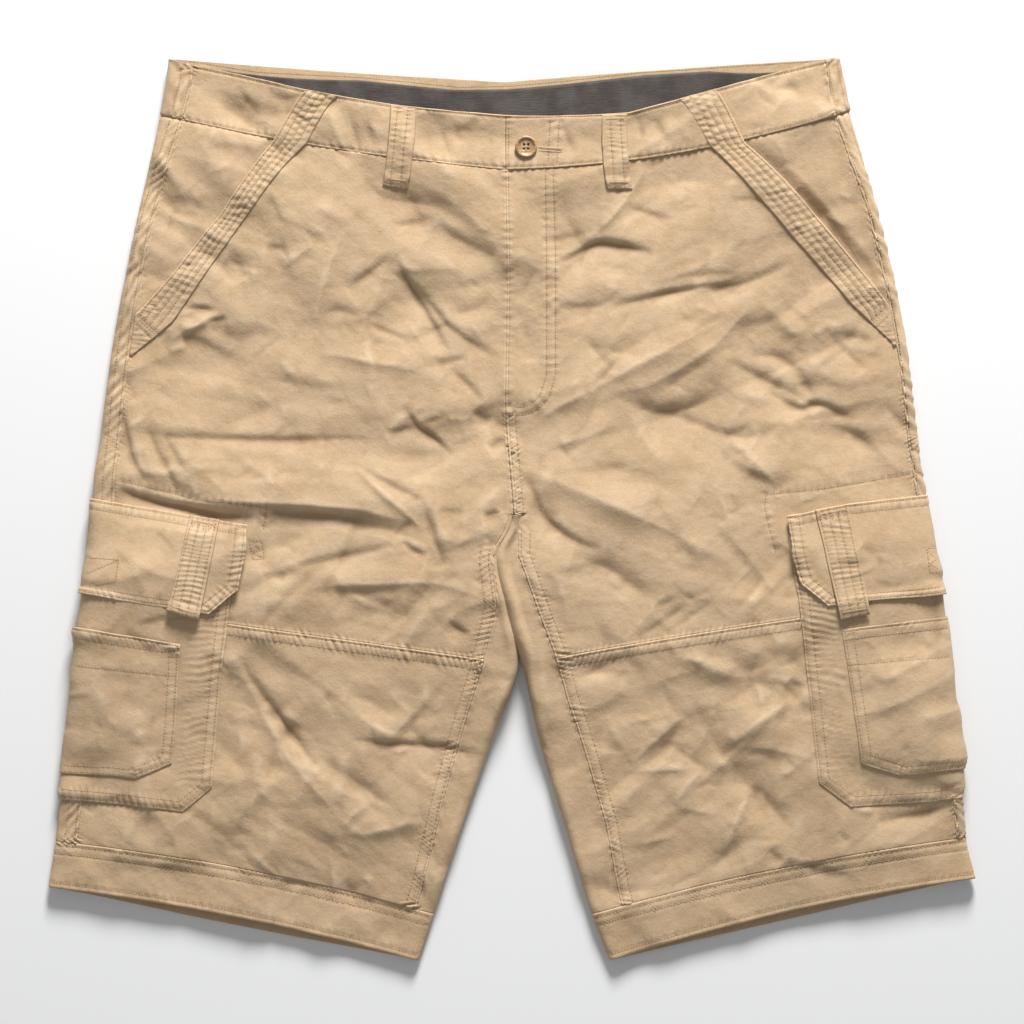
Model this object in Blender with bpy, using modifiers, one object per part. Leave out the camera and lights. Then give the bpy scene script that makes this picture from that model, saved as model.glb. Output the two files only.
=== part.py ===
# Cargo shorts laid flat, front up, with the waist towards +Y.
#
# Each half is a flattened tube of cloth. A section runs across it from the outer fold to the centre
# line or, on a leg, to the inner fold. Two numbers name a place on the tube: "level" counts the
# sections from the waist down, and "reach" is the way round the section from the outermost line,
# over the top where it is positive and underneath where it is negative. Every piece is a grid
# of such places, moved out from the tube where it lies on another piece, with Solidify for its wall.
#
# Tables and constants are in millimetres, and the finished points are scaled to metres.

import math
from types import SimpleNamespace

import bmesh
import bpy
import numpy as np
from mathutils import Vector

MM = 0.001

CLOTH = 1.2  # wall of a single panel
WAIST_CLOTH = 2.0  # folded and interlined waistband
HEM_CLOTH = 1.6
TAPE_CLOTH = 1.0
GAP = 0.3  # between two pieces
HALF_GAP = GAP / 2
LEVEL_GAP = 0.004  # half a gap between two pieces that meet across a section

BODY_HEIGHT = 13.5  # outer height of the flattened tube
FOLD = BODY_HEIGHT / 2  # reach of a side fold into the plan
FOLD_ARC = FOLD * math.pi / 2
FOLD_STEPS = 4  # facets round a fold

ON_PANEL = GAP + CLOTH  # outer faces of stacked layers
ON_POCKET = 2 * ON_PANEL
ON_FLAP = 3 * ON_PANEL
UNDER_PANEL = -(CLOTH + GAP)
UNDER_WAIST = -(WAIST_CLOTH + GAP)

POCKET_HIDDEN = 75.0  # part of the cargo pocket that wraps round to the back
FLAP_HIDDEN = 79.0
PATCH_HIDDEN = 45.0
FACING_TUCK = 10.0  # how far the pocket facing runs in under the front
SEAM_FROM_FOLD = 1.2  # least distance of a seam from a fold
TAPE_FROM_FOLD = 3.0
LEAST_BAND = 3.0  # least width of the pocket band, at its lower tip
BACK_HEM_PEEK = 0.16  # levels by which the back hem hangs below the front hem

# Rows of the pieces on the leg, as parts of their height from the top edge to the bottom edge.
POCKET_ROWS = (0, 0.15, 0.3, 0.45, 0.6, 0.75, 0.9, 0.95, 1)
FLAP_ROWS = (0, 0.1, 0.4, 0.72, 0.86, 1)
PATCH_ROWS = (0, 0.3, 0.6, 0.85, 0.95, 1)
SEWN_PART = FLAP_ROWS[1]  # a flap or a tab is sewn down above this and lies on the pocket below it

SEARCH_STEPS = 40  # halvings in the search for a section through a point
SEARCH_PAST = 0.4  # levels by which that search runs past the first and the last section

BACK_TOP, FRONT_TOP, WAIST_SEAM, HIP, SEAT, CROTCH, FORK = range(7)
THIGH, KNEE, CALF, SHIN, HEM_TOP, HEM = range(7, 13)

# One row for each section: where it meets the outer fold, where it meets the centre line or the
# inner fold, and how far its middle hangs below the straight line between the two.
SECTION_COLUMNS = ("outer_x", "outer_y", "inner_x", "inner_y", "sag")
SECTIONS = {
    "left": (
        (-268, 353, -5, 335, 1),  # back top
        (-268, 351, -5, 307, 6),  # front top
        (-275, 308, -5, 265, 5),  # waist seam
        (-292, 232, -4, 179, 4),  # hip
        (-311, 136, -5, 86, 2),  # seat
        (-322, 55, 0.6, -4, 0),  # crotch
        (-327, 20, -11.4, -39, 0),  # fork
        (-329, -23, -2.4, -81, 0),  # thigh
        (-334, -73, 5, -120, 0),  # knee
        (-342, -134, -16, -182, -2),  # calf
        (-350, -203, -40, -251, -4),  # shin
        (-357, -259, -61, -316, -7),  # hem top
        (-363, -295, -73, -353, -6),  # hem
    ),
    "right": (
        (255, 353, -5, 335, -1),
        (256, 352, -5, 307, 9),
        (264, 311, -5, 265, 10),
        (286, 232, -4, 179, 7),
        (307, 136, -5, 86, 4),
        (317, 55, 1.4, -4, 1),
        (322, 20, -10.6, -39, 0),
        (328, -23, -1.6, -81, 0),
        (335, -70, 8, -120, -3),
        (342, -129, 20, -176, -3),
        (350, -203, 42, -250, -4),
        (355, -256, 62, -316, -6),
        (363, -288, 76, -353, -7),
    ),
}

# How far the underside is lifted off the table by the layers beneath it.
WAIST_RAISE = {"level": (0, 2.5, 3.3), "height": (ON_PANEL, ON_PANEL, 0)}
POCKET_RAISE = {"level": (4.6, 5.6, 10.7, 12), "height": (0, ON_POCKET, ON_POCKET, 0)}
POCKET_RAISE_REACH = {"reach": (100, 150), "share": (1, 0)}
INNER_FOLD = {"level": (CROTCH, KNEE), "radius": (2.0, FOLD)}

# The largest folds of the front: the line of each, its half width, and its height.
FOLD_COLUMNS = ("x0", "y0", "x1", "y1", "width", "height")
FOLDS = {
    "left fly trough": (-60, 222, -20, 199, 12, -1.6),
    "left hip ridge": (-95, 201, -47, 119, 13, 2.0),
    "left seat crease": (-275, 62, -142, 55, 12, -1.6),
    "left leaf ridge": (-122, 35, -66, -16, 13, 2.2),
    "left thigh ridge": (-170, 2, -84, -12, 11, 1.8),
    "left long ridge": (-150, -58, -75, -57, 13, 1.5),
    "left calf trough": (-190, -140, -142, -233, 14, -1.5),
    "left shin crease": (-126, -179, -44, -187, 11, -1.8),
    "right fly crease": (55, 196, 105, 210, 12, -1.8),
    "right hip ridge": (85, 158, 175, 176, 12, 1.6),
    "right long ridge": (40, 82, 165, 148, 13, 2.2),
    "right side fold": (200, 93, 262, 70, 12, -1.8),
    "right seat ridge": (160, 62, 200, 25, 12, 1.6),
    "right crotch crease": (18, 20, 52, -26, 12, -1.8),
    "right thigh ridge": (60, 12, 175, -44, 14, 2.0),
    "right knee trough": (50, -38, 115, -75, 13, -1.8),
    "right shin ridge": (94, -197, 133, -162, 13, 1.6),
    "right calf ridge": (150, -170, 190, -150, 12, 1.6),
}

# Rows of the fronts and the backs: steps between one section and the next.
UPPER_STEPS = (3, HIP, 3, SEAT, 3, CROTCH, 2, FORK, 2, THIGH, 2)
LOWER_STEPS = (2, CALF, 2, SHIN, 2)

# Seams and edges in plan, from the waist down. Each point is (x, y).
SIDE_SEAM = {
    "left": (
        (-250, 350), (-250, 332), (-256, 308), (-269, 265), (-282, 218), (-291, 171),
        (-299, 118), (-305, 64), (-310, 8), (-328, -148), (-336, -227), (-346, -296),
    ),
    "right": (
        (243, 352), (249, 321), (251, 310), (264, 270), (281, 223), (292, 171),
        (300, 126), (314, 81), (321, 30), (337, -148), (345, -228), (356, -289),
    ),
}
INSEAM = {
    "left": ((-3, -8), (-9, -25), (-16, -41), (-12, -75), (-24, -126), (-53, -225), (-88, -346)),
    "right": ((5, -8), (5, -36), (18, -72), (43, -148), (73, -244), (99, -342)),
}
POCKET_MOUTH = {
    "left": ((-161, 327), (-186, 289), (-228, 230), (-265, 184), (-292, 154)),
    "right": ((158, 328), (182, 286), (218, 251), (254, 210), (294, 160)),
}
BAND_INNER = {
    "left": ((-136, 323), (-160, 286), (-187, 257), (-222, 208), (-264, 147), (-297, 120)),
    "right": ((129, 321), (154, 284), (190, 246), (221, 210), (264, 161), (299, 128)),
}
FRONT_TOP_EDGE = {
    "left": ((-256, 349), (-222, 342), (-161, 328), (-96, 317), (-5, 308)),
    "right": ((255, 353), (207, 342), (147, 325), (90, 310), (-5, 308)),
}
TAPE_TOP_EDGE = {
    "left": ((-255, 345), (-198, 336), (-118, 332), (-5, 327)),
    "right": ((245, 345), (153, 339), (102, 336), (-5, 327)),
}

# The cargo pocket, its flap and the patch pocket on it: top edge, edge towards the inseam with
# its cut corner, and bottom edge. Top and bottom run from the outer fold inwards.
CARGO = {
    "left": {
        "pocket": {
            "top": ((-328, -6), (-253, -19), (-214, -26)),
            "inner": ((-214, -26), (-220, -75), (-227, -135), (-234, -217), (-257, -236)),
            "bottom": ((-353, -226), (-296, -231), (-257, -236)),
        },
        "flap": {
            "top": ((-328, 9), (-253, -4), (-206, -12)),
            "inner": ((-206, -12), (-208, -34), (-213, -63), (-236, -81)),
            "bottom": ((-336, -65), (-268, -76), (-236, -81)),
        },
        "patch": {
            "top": ((-341, -91), (-310, -96), (-258, -104)),
            "inner": ((-258, -104), (-262, -168), (-265, -198), (-293, -210)),
            "bottom": ((-353, -206), (-310, -208), (-293, -210)),
        },
        "tab": {
            "outer": ((-251, -4), (-268, -78)),
            "inner": ((-228, -8), (-244, -85)),
        },
    },
    "right": {
        "pocket": {
            "top": ((326, -3), (262, -10), (215, -19)),
            "inner": ((215, -19), (223, -68), (232, -148), (239, -213), (264, -232)),
            "bottom": ((355, -224), (329, -228), (264, -232)),
        },
        "flap": {
            "top": ((326, 12), (262, 5), (214, -5)),
            "inner": ((214, -5), (219, -36), (225, -58), (246, -75)),
            "bottom": ((336, -66), (278, -71), (246, -75)),
        },
        "patch": {
            "top": ((341, -83), (279, -90), (257, -93)),
            "inner": ((257, -93), (265, -148), (272, -197), (303, -207)),
            "bottom": ((354, -202), (329, -204), (303, -207)),
        },
        "tab": {
            "outer": ((262, 5), (279, -81)),
            "inner": ((236, 0), (255, -85)),
        },
    },
}

# Belt loops: the half that each lies on, its side, and its four corners from the top outer one.
LOOP_COLUMNS = ("side", "over", "outer_top", "inner_top", "outer_bottom", "inner_bottom")
LOOPS = {
    "belt_loop_front_left": ("left", 1, (-95, 316), (-75, 313), (-101, 253), (-81, 250)),
    "belt_loop_front_right": ("right", 1, (90, 309), (70, 308), (94, 250), (74, 250)),
    "belt_loop_back_left": ("left", -1, (-246, 350), (-226, 349), (-250, 284), (-230, 281)),
    "belt_loop_back_centre": ("left", -1, (-16, 335), (4, 335), (-16, 247), (4, 247)),
    "belt_loop_back_right": ("right", -1, (226, 350), (206, 349), (230, 282), (210, 280)),
}

UNDERLAP = {"inner_x": -11, "outer_x": 28, "top_y": 306, "bottom_y": 92}
BUTTON = {"x": 11, "y": 283, "radius": 8.6, "height": 3.2, "rim": 1.9, "floor": 2.1, "edge": 0.6}
BUTTON_HOLES = {"count": 4, "radius": 1.0, "circle": 2.3}
BUTTON_STEPS = 20

TWILL = (0.52, 0.36, 0.20)
TAPE = (0.085, 0.072, 0.062)
BUTTON_COLOUR = (0.42, 0.27, 0.14)


def material(name, colour, roughness):
    made = bpy.data.materials.new(name)
    made.use_nodes = True
    shader = made.node_tree.nodes["Principled BSDF"]
    shader.inputs["Base Color"].default_value = (*colour, 1)
    shader.inputs["Roughness"].default_value = roughness
    shader.inputs["Metallic"].default_value = 0
    return made


def smooth(values, level):
    """The column's value at a level, on one smooth curve through its rows."""
    values = np.asarray(values, float)
    row = np.clip(np.floor(level), 0, len(values) - 2).astype(int)
    part = level - row
    steps = np.diff(values)
    before = steps[:-1]
    after = steps[1:]
    # Where the column turns back, its slope is level, so that the curve never overshoots a row.
    turns_back = before * after <= 0
    total = np.where(turns_back, 1, before + after)
    between = np.where(turns_back, 0, 2 * before * after / total)
    slope = np.concatenate([steps[:1], between, steps[-1:]])
    start = values[row]
    end = values[row + 1]
    start_slope = slope[row]
    end_slope = slope[row + 1]
    bend = 3 * (end - start) - 2 * start_slope - end_slope
    twist = 2 * (start - end) + start_slope + end_slope
    return start + part * (start_slope + part * (bend + part * twist))


def section(side, level):
    """The section's sizes by name: outer_x, outer_y, inner_x, inner_y, sag and its span in plan."""
    columns = zip(*SECTIONS[side])
    sizes = {name: smooth(column, level) for name, column in zip(SECTION_COLUMNS, columns)}
    span = np.hypot(sizes["inner_x"] - sizes["outer_x"], sizes["inner_y"] - sizes["outer_y"])
    return SimpleNamespace(**sizes, span=span)


def in_plan(across, share):
    """The point of a section in plan, at this share of the way from its outer to its inner end."""
    x = across.outer_x + share * (across.inner_x - across.outer_x)
    y = across.outer_y + share * (across.inner_y - across.outer_y)
    return x, y - 4 * across.sag * share * (1 - share)


def inner_radius(level):
    radius = np.interp(level, INNER_FOLD["level"], INNER_FOLD["radius"])
    return np.where(level < CROTCH, 0, radius)


def flat_end(side, level):
    """Reach at which the flat top ends, at the centre line or at the inner fold."""
    return FOLD_ARC + section(side, level).span - FOLD - inner_radius(level)


def inner_turn(level):
    """Way round the inner fold, from the flat top to the flat underside."""
    radius = inner_radius(level)
    return math.pi * radius + BODY_HEIGHT - 2 * radius


def fold_height(x, y):
    """Height of the folds at a point in plan."""
    total = np.zeros(np.shape(x))
    for row in FOLDS.values():
        fold = SimpleNamespace(**dict(zip(FOLD_COLUMNS, row)))
        run_x = fold.x1 - fold.x0
        run_y = fold.y1 - fold.y0
        length = math.hypot(run_x, run_y)
        along = ((x - fold.x0) * run_x + (y - fold.y0) * run_y) / length
        across = ((y - fold.y0) * run_x - (x - fold.x0) * run_y) / length
        past_end = np.maximum(np.maximum(-along, along - length), 0)
        total += fold.height * np.exp(-(across**2 + past_end**2) / fold.width**2)
    return total


def underside(reach, level):
    """Height of the tube's underside."""
    waist = np.interp(level, WAIST_RAISE["level"], WAIST_RAISE["height"])
    pocket = np.interp(level, POCKET_RAISE["level"], POCKET_RAISE["height"])
    share = np.interp(np.abs(reach), POCKET_RAISE_REACH["reach"], POCKET_RAISE_REACH["share"])
    return waist + pocket * share


def tube_point(side, reach, level):
    """The point of the tube's outer face at this place."""
    across = section(side, level)
    radius = inner_radius(level)
    end = flat_end(side, level)
    turn = inner_turn(level)

    # Outer fold, then the flat top or underside.
    angle = np.clip(reach / FOLD, -math.pi / 2, math.pi / 2)
    along = FOLD * (1 - np.cos(angle)) + np.maximum(np.abs(reach) - FOLD_ARC, 0)
    drop = FOLD * (1 - np.sin(angle))

    # Inner fold, counted down from the flat top.
    down = np.where(reach > 0, reach - end, turn + end + reach)
    on_leg = (level >= CROTCH) & (np.abs(reach) > end)
    corner = radius * math.pi / 2
    rounded = np.maximum(radius, 1e-6)
    upper = np.clip(down / rounded, 0, math.pi / 2)
    lower = np.clip((turn - down) / rounded, 0, math.pi / 2)
    wall = np.clip(down - corner, 0, turn - 2 * corner)
    bulge = radius * np.minimum(np.sin(upper), np.sin(lower))
    before = np.minimum(down, 0)
    after = np.minimum(turn - down, 0)
    inner_along = across.span - radius + bulge + before + after
    inner_drop = radius * (1 - np.cos(upper)) + wall + radius * np.cos(lower)
    along = np.where(on_leg, inner_along, along)
    drop = np.where(on_leg, inner_drop, drop)

    x, y = in_plan(across, along / across.span)
    low = underside(reach, level)
    high = BODY_HEIGHT + fold_height(x, y)
    z = low + (high - low) * (1 - drop / BODY_HEIGHT)
    return np.stack([x, y, z], axis=-1)


def tube_normal(side, reach, level):
    """Outward normal of the tube, from two short steps along it."""
    step = 0.05
    level_step = 0.02
    above = np.where(level >= CROTCH, np.maximum(level - level_step, CROTCH), level - level_step)
    below = np.where(level < CROTCH, np.minimum(level + level_step, CROTCH - 1e-4), level + level_step)
    # A place on the inner fold keeps its way from the end of the flat when the level changes.
    past = np.abs(reach) > flat_end(side, level) - 1e-6
    shift = np.where(past & (level >= CROTCH), 1, 0) * np.sign(reach)
    reach_above = reach + shift * (flat_end(side, above) - flat_end(side, level))
    reach_below = reach + shift * (flat_end(side, below) - flat_end(side, level))
    round_way = tube_point(side, reach + step, level) - tube_point(side, reach - step, level)
    down_way = tube_point(side, reach_below, below) - tube_point(side, reach_above, above)
    normal = np.cross(down_way, round_way)
    normal /= np.linalg.norm(normal, axis=-1, keepdims=True)
    return normal if side == "left" else -normal


def locate(side, points):
    """Reach and level of points in plan, on the top of the tube."""
    x, y = np.array(points, float).T
    high = np.full(len(x), -SEARCH_PAST)
    low = np.full(len(x), HEM + SEARCH_PAST)
    for _ in range(SEARCH_STEPS):
        level = (high + low) / 2
        across = section(side, level)
        share = (x - across.outer_x) / (across.inner_x - across.outer_x)
        section_y = in_plan(across, share)[1]
        high = np.where(section_y > y, level, high)
        low = np.where(section_y > y, low, level)
    along = share * across.span
    in_fold = FOLD * np.arccos(np.clip(1 - along / FOLD, -1, 1))
    return np.where(along < FOLD, in_fold, along - FOLD + FOLD_ARC), level


def reach_at(side, points, level):
    """Reach of a seam at each level."""
    reaches, levels = locate(side, points)
    return np.interp(level, levels, reaches)


def level_at(side, points, reach):
    """Level of an edge at each reach."""
    reaches, levels = locate(side, points)
    order = np.argsort(reaches)
    return np.interp(reach, reaches[order], levels[order])


def spread(anchors, steps):
    """Columns between each anchor and the next, for every row."""
    anchors = [np.asarray(anchor, float) for anchor in np.broadcast_arrays(*anchors)]
    columns = [anchors[0]]
    for first, last, count in zip(anchors, anchors[1:], steps):
        columns += [first + (last - first) * k / count for k in range(1, count + 1)]
    return np.stack(columns, axis=-1)


def cloth(name, finish, points, normals, thickness, dropped=None, closed=False):
    """A cloth piece from rows of points on its outer face, with its wall inwards."""
    rows, columns = points.shape[:2]
    shape = bmesh.new()
    bmesh.ops.create_grid(shape, x_segments=columns - 1, y_segments=rows - 1, size=1)
    for vertex in shape.verts:
        column = round((vertex.co.x + 1) / 2 * (columns - 1))
        row = round((vertex.co.y + 1) / 2 * (rows - 1))
        vertex.co = points[row, column] * MM
        vertex.tag = dropped is not None and bool(dropped[row, column])
    unused = [vertex for vertex in shape.verts if vertex.tag]
    bmesh.ops.delete(shape, geom=unused, context="VERTS")
    if closed:
        bmesh.ops.remove_doubles(shape, verts=shape.verts, dist=1e-6)
    shape.normal_update()
    inside = (rows // 2, columns // 3)
    place = Vector(points[inside] * MM)
    nearest = min(shape.verts, key=lambda vertex: (vertex.co - place).length)
    if nearest.normal.dot(Vector(normals[inside])) < 0:
        bmesh.ops.reverse_faces(shape, faces=shape.faces)
    mesh = bpy.data.meshes.new(name)
    shape.to_mesh(mesh)
    shape.free()
    mesh.shade_smooth()
    mesh.materials.append(finish)
    piece = bpy.data.objects.new(name, mesh)
    garment.objects.link(piece)
    wall = piece.modifiers.new("wall", "SOLIDIFY")
    wall.thickness = thickness * MM
    wall.offset = -1
    wall.use_even_offset = True
    wall.use_quality_normals = True
    return piece


def lay(name, side, reach, level, out=0.0, thickness=CLOTH, finish=None, **more):
    """A cloth piece at these places, its outer face this far out from the tube."""
    reach, level, out = np.broadcast_arrays(reach, level, out)
    normals = tube_normal(side, reach, level)
    points = tube_point(side, reach, level) + normals * out[..., None]
    return cloth(name, finish or twill, points, normals, thickness, **more)


def levels(*stops):
    """Rows from stop to stop: a level, then the steps to the next level, and so on."""
    rows = [float(stops[0])]
    for first, steps, last in zip(stops[::2], stops[1::2], stops[2::2]):
        rows += [first + (last - first) * k / steps for k in range(1, steps + 1)]
    return np.array(rows)


def side_seam(side, level):
    """Reach of the side seam, which stays on the flat top, clear of the fold."""
    return np.maximum(reach_at(side, SIDE_SEAM[side], level), FOLD_ARC + SEAM_FROM_FOLD)


def inseam(side, level):
    """Reach of the inseam, which stays on the flat top, clear of the inner fold."""
    return np.minimum(reach_at(side, INSEAM[side], level), flat_end(side, level) - SEAM_FROM_FOLD)


def centre_or_inseam(side, level):
    """Inner edge of a front: the centre line down to the crotch, then the inseam."""
    centre = flat_end(side, np.minimum(level, CROTCH - 1e-4)) - HALF_GAP
    return np.where(level < CROTCH, centre, inseam(side, level) - HALF_GAP)


def mouth_bottom(side):
    """Level of the lower end of the pocket mouth."""
    return locate(side, POCKET_MOUTH[side])[1][-1]


def front_outer(side, level):
    """Outer edge of a front: the pocket mouth, then the side seam."""
    mouth = reach_at(side, POCKET_MOUTH[side], level)
    mouth = np.where(level <= mouth_bottom(side), mouth, 0)
    return np.maximum(mouth, side_seam(side, level))


def fronts(side):
    upper = levels(WAIST_SEAM + LEVEL_GAP, *UPPER_STEPS, KNEE - LEVEL_GAP)
    outer = front_outer(side, upper) + HALF_GAP
    reach = spread([outer, centre_or_inseam(side, upper)], [12])
    lay(f"front_upper_{side}", side, reach, upper[:, None])

    lower = levels(KNEE + LEVEL_GAP, *LOWER_STEPS, HEM_TOP - LEVEL_GAP)
    outer = side_seam(side, lower) + HALF_GAP
    inner = inseam(side, lower) - HALF_GAP
    lay(f"front_lower_{side}", side, spread([outer, inner], [10]), lower[:, None])


def pocket_facing(side):
    """The panel that shows inside the slash pocket, tucked in under the front."""
    rows = levels(WAIST_SEAM + LEVEL_GAP, 6, mouth_bottom(side))
    outer = side_seam(side, rows) + HALF_GAP
    inner = front_outer(side, rows) + FACING_TUCK
    reach = spread([outer, inner], [3])
    lay(f"pocket_facing_{side}", side, reach, rows[:, None], out=UNDER_PANEL)


def pocket_band(side):
    """The quilted band along the slash pocket, which runs up over the waistband."""
    top = level_at(side, FRONT_TOP_EDGE[side], locate(side, POCKET_MOUTH[side])[0][0]) + LEVEL_GAP
    bottom = locate(side, BAND_INNER[side])[1][-1]
    rows = levels(float(top), 2, WAIST_SEAM, 8, bottom)
    outer = front_outer(side, rows) + HALF_GAP
    inner = np.maximum(reach_at(side, BAND_INNER[side], rows), outer + LEAST_BAND)
    lay(f"pocket_band_{side}", side, spread([outer, inner], [2]), rows[:, None], out=ON_PANEL)


def back(side):
    """One back: round the outer fold, across the underside and up to the inseam on a leg."""
    rows = levels(WAIST_SEAM + LEVEL_GAP, *UPPER_STEPS, KNEE, *LOWER_STEPS, HEM_TOP - LEVEL_GAP)
    end = flat_end(side, rows)
    end = np.where(rows < CROTCH, end - HALF_GAP, end)
    corner = inner_radius(rows) * math.pi / 2
    turn = inner_turn(rows)
    seam = end + turn + end - (inseam(side, rows) + HALF_GAP)
    edge = side_seam(side, rows) - HALF_GAP
    anchors = [edge, FOLD_ARC, -FOLD_ARC, -end, -end - corner, -end - turn + corner, -end - turn, -seam]
    steps = [1, FOLD_STEPS, 6, 2, 1, 2, 1]
    reach = spread(anchors, steps)
    across = sum(steps[:3])
    dropped = (rows < CROTCH)[:, None] & (np.arange(reach.shape[1]) > across)[None, :]
    lay(f"back_{side}", side, reach, rows[:, None], dropped=dropped)


def waistband_front(side):
    outer = locate(side, SIDE_SEAM[side][1:3])[0].mean()
    rows = np.linspace(0, 1, 3)[:, None]
    reach = spread([outer + HALF_GAP, flat_end(side, FRONT_TOP) - HALF_GAP], [10])[None, :]
    top = level_at(side, FRONT_TOP_EDGE[side], reach)
    level = top + (WAIST_SEAM - LEVEL_GAP - top) * rows
    # The ends follow the side seam and the centre line.
    share = (reach - reach.min()) / (reach.max() - reach.min())
    outer = side_seam(side, level) + HALF_GAP
    inner = flat_end(side, level) - HALF_GAP
    reach = outer + (inner - outer) * share
    lay(f"waistband_front_{side}", side, reach, level, thickness=WAIST_CLOTH)


def half_band(side, top_edge, top_hidden, bottom, ends, steps):
    """Reach and level over one half of a band across the back, from its outer end to the centre."""
    rows = np.linspace(0, 1, 3)[:, None]
    reach = spread(ends, steps)[None, :]
    over = np.interp(reach, (-FOLD_ARC, FOLD_ARC), (0, 1))
    top = over * level_at(side, top_edge, reach) + (1 - over) * top_hidden(reach)
    return reach + 0 * rows, top + (bottom - top) * rows


def join_halves(name, out, thickness, finish, halves):
    """A band across the back in one piece, from the grids of its two halves."""
    points = []
    normals = []
    for side, (reach, level) in halves.items():
        outward = tube_normal(side, reach, level)
        half = tube_point(side, reach, level) + outward * out
        points.append(half if side == "left" else half[:, -2::-1])
        normals.append(outward if side == "left" else outward[:, -2::-1])
    cloth(name, finish, np.concatenate(points, axis=1), np.concatenate(normals, axis=1), thickness)


def waistband_back():
    halves = {}
    for side in SECTIONS:
        reach, level = half_band(
            side,
            FRONT_TOP_EDGE[side],
            lambda reach: 0 * reach,
            WAIST_SEAM - LEVEL_GAP,
            [FOLD_ARC, -FOLD_ARC, -flat_end(side, FRONT_TOP)],
            [FOLD_STEPS, 8],
        )
        # One more column on the top, out to the side seam, and the last one on the centre line.
        seam = side_seam(side, level[:, :1]) - HALF_GAP
        reach = np.concatenate([seam, reach], axis=1)
        level = np.concatenate([level[:, :1], level], axis=1)
        reach[:, -1] = -flat_end(side, level[:, -1])
        halves[side] = (reach, level)
    join_halves("waistband_back", 0, WAIST_CLOTH, twill, halves)


def inner_tape():
    """The dark tape that shows inside the back of the waistband."""
    halves = {}
    for side in SECTIONS:
        rows = np.linspace(0, 1, 3)[:, None]
        ends = [-FOLD_ARC - TAPE_FROM_FOLD, -flat_end(side, FRONT_TOP)]
        reach = spread(ends, [6])[None, :] + 0 * rows
        top = level_at(side, TAPE_TOP_EDGE[side], -reach)
        level = top + (WAIST_SEAM - 2 * LEVEL_GAP - top) * rows
        reach[:, -1] = -flat_end(side, level[:, -1])
        halves[side] = (reach, level)
    join_halves("inner_tape", UNDER_WAIST, TAPE_CLOTH, tape, halves)


def underlap():
    """The fly underlap, with the end of the waistband that the button is sewn to."""
    columns = np.linspace(UNDERLAP["outer_x"], UNDERLAP["inner_x"], 4)
    rows = np.linspace(UNDERLAP["top_y"], UNDERLAP["bottom_y"], 7)
    places = [locate("right", [(x, y) for x in columns]) for y in rows]
    reach, level = np.array(places).transpose(1, 0, 2)
    lay("fly_underlap", "right", reach, level, out=UNDER_WAIST)


def belt_loops():
    for name, row in LOOPS.items():
        loop = SimpleNamespace(**dict(zip(LOOP_COLUMNS, row)))
        outer = locate(loop.side, [loop.outer_top, loop.outer_bottom])
        inner = locate(loop.side, [loop.inner_top, loop.inner_bottom])
        reach, level = strip(outer, inner, np.linspace(0, 1, 5))
        lay(name, loop.side, loop.over * reach, np.maximum(level, BACK_TOP), out=ON_PANEL)


def strip(outer, inner, down):
    """Reach and level over a straight strip, from the two ends of each of its long edges."""
    across = np.linspace(0, 1, 3)
    places = []
    for outer_ends, inner_ends in zip(outer, inner):
        outer_edge = outer_ends[0] + (outer_ends[1] - outer_ends[0]) * down
        inner_edge = inner_ends[0] + (inner_ends[1] - inner_ends[0]) * down
        places.append(outer_edge[:, None] + (inner_edge - outer_edge)[:, None] * across)
    return places


def wrapped(side, edges, hidden, down, steps):
    """Reach and level over a piece that wraps round the outer fold, at these parts of its height."""
    inner_reach, inner_level = locate(side, edges["inner"])
    top = level_at(side, edges["top"], inner_reach)
    bottom = level_at(side, edges["bottom"], inner_reach)
    part = (inner_level - top) / (bottom - top)
    part = (part - part[0]) / (part[-1] - part[0])
    inner = np.interp(down, part, inner_reach)
    reach = spread([np.full(len(down), -hidden), -FOLD_ARC, FOLD_ARC, inner], steps)
    top = level_at(side, edges["top"], reach)
    bottom = level_at(side, edges["bottom"], reach)
    return reach, top + (bottom - top) * down[:, None]


def cargo_pocket(side):
    edges = CARGO[side]
    steps = [3, FOLD_STEPS, 4]
    reach, level = wrapped(side, edges["pocket"], POCKET_HIDDEN, np.array(POCKET_ROWS), steps)
    lay(f"cargo_pocket_{side}", side, reach, level, out=ON_PANEL)

    down = np.array(FLAP_ROWS)
    reach, level = wrapped(side, edges["flap"], FLAP_HIDDEN, down, steps)
    rise = np.interp(down, (0, SEWN_PART), (ON_PANEL, ON_POCKET))[:, None]
    lay(f"cargo_flap_{side}", side, reach, level, out=rise)

    steps = [2, FOLD_STEPS, 3]
    reach, level = wrapped(side, edges["patch"], PATCH_HIDDEN, np.array(PATCH_ROWS), steps)
    lay(f"patch_pocket_{side}", side, reach, level, out=ON_POCKET)

    down = np.array(FLAP_ROWS)
    outer = locate(side, edges["tab"]["outer"])
    inner = locate(side, edges["tab"]["inner"])
    reach, level = strip(outer, inner, down)
    rise = np.interp(down, (0, SEWN_PART), (ON_POCKET, ON_FLAP))[:, None]
    lay(f"flap_tab_{side}", side, reach, level, out=rise)


def hem_band(side):
    """A turned-up hem, one ring round the leg, whose back hangs a little lower than its front."""
    rows = levels(HEM_TOP + LEVEL_GAP, 2, HEM)
    end = flat_end(side, rows)
    corner = inner_radius(rows) * math.pi / 2
    turn = inner_turn(rows)
    start = FOLD_ARC + 0 * rows
    once_round = start - 2 * end - turn
    anchors = [start, -start, -end, -end - corner, -end - turn + corner, -end - turn, once_round]
    reach = spread(anchors, [FOLD_STEPS, 8, 2, 1, 2, 8])
    across = np.clip((-reach - FOLD_ARC) / (end[:, None] - FOLD_ARC), 0, 1)
    hang = BACK_HEM_PEEK * np.sin(math.pi * across) * (rows[:, None] - HEM_TOP)
    lay(f"hem_{side}", side, reach, rows[:, None] + hang, thickness=HEM_CLOTH, closed=True)


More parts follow.
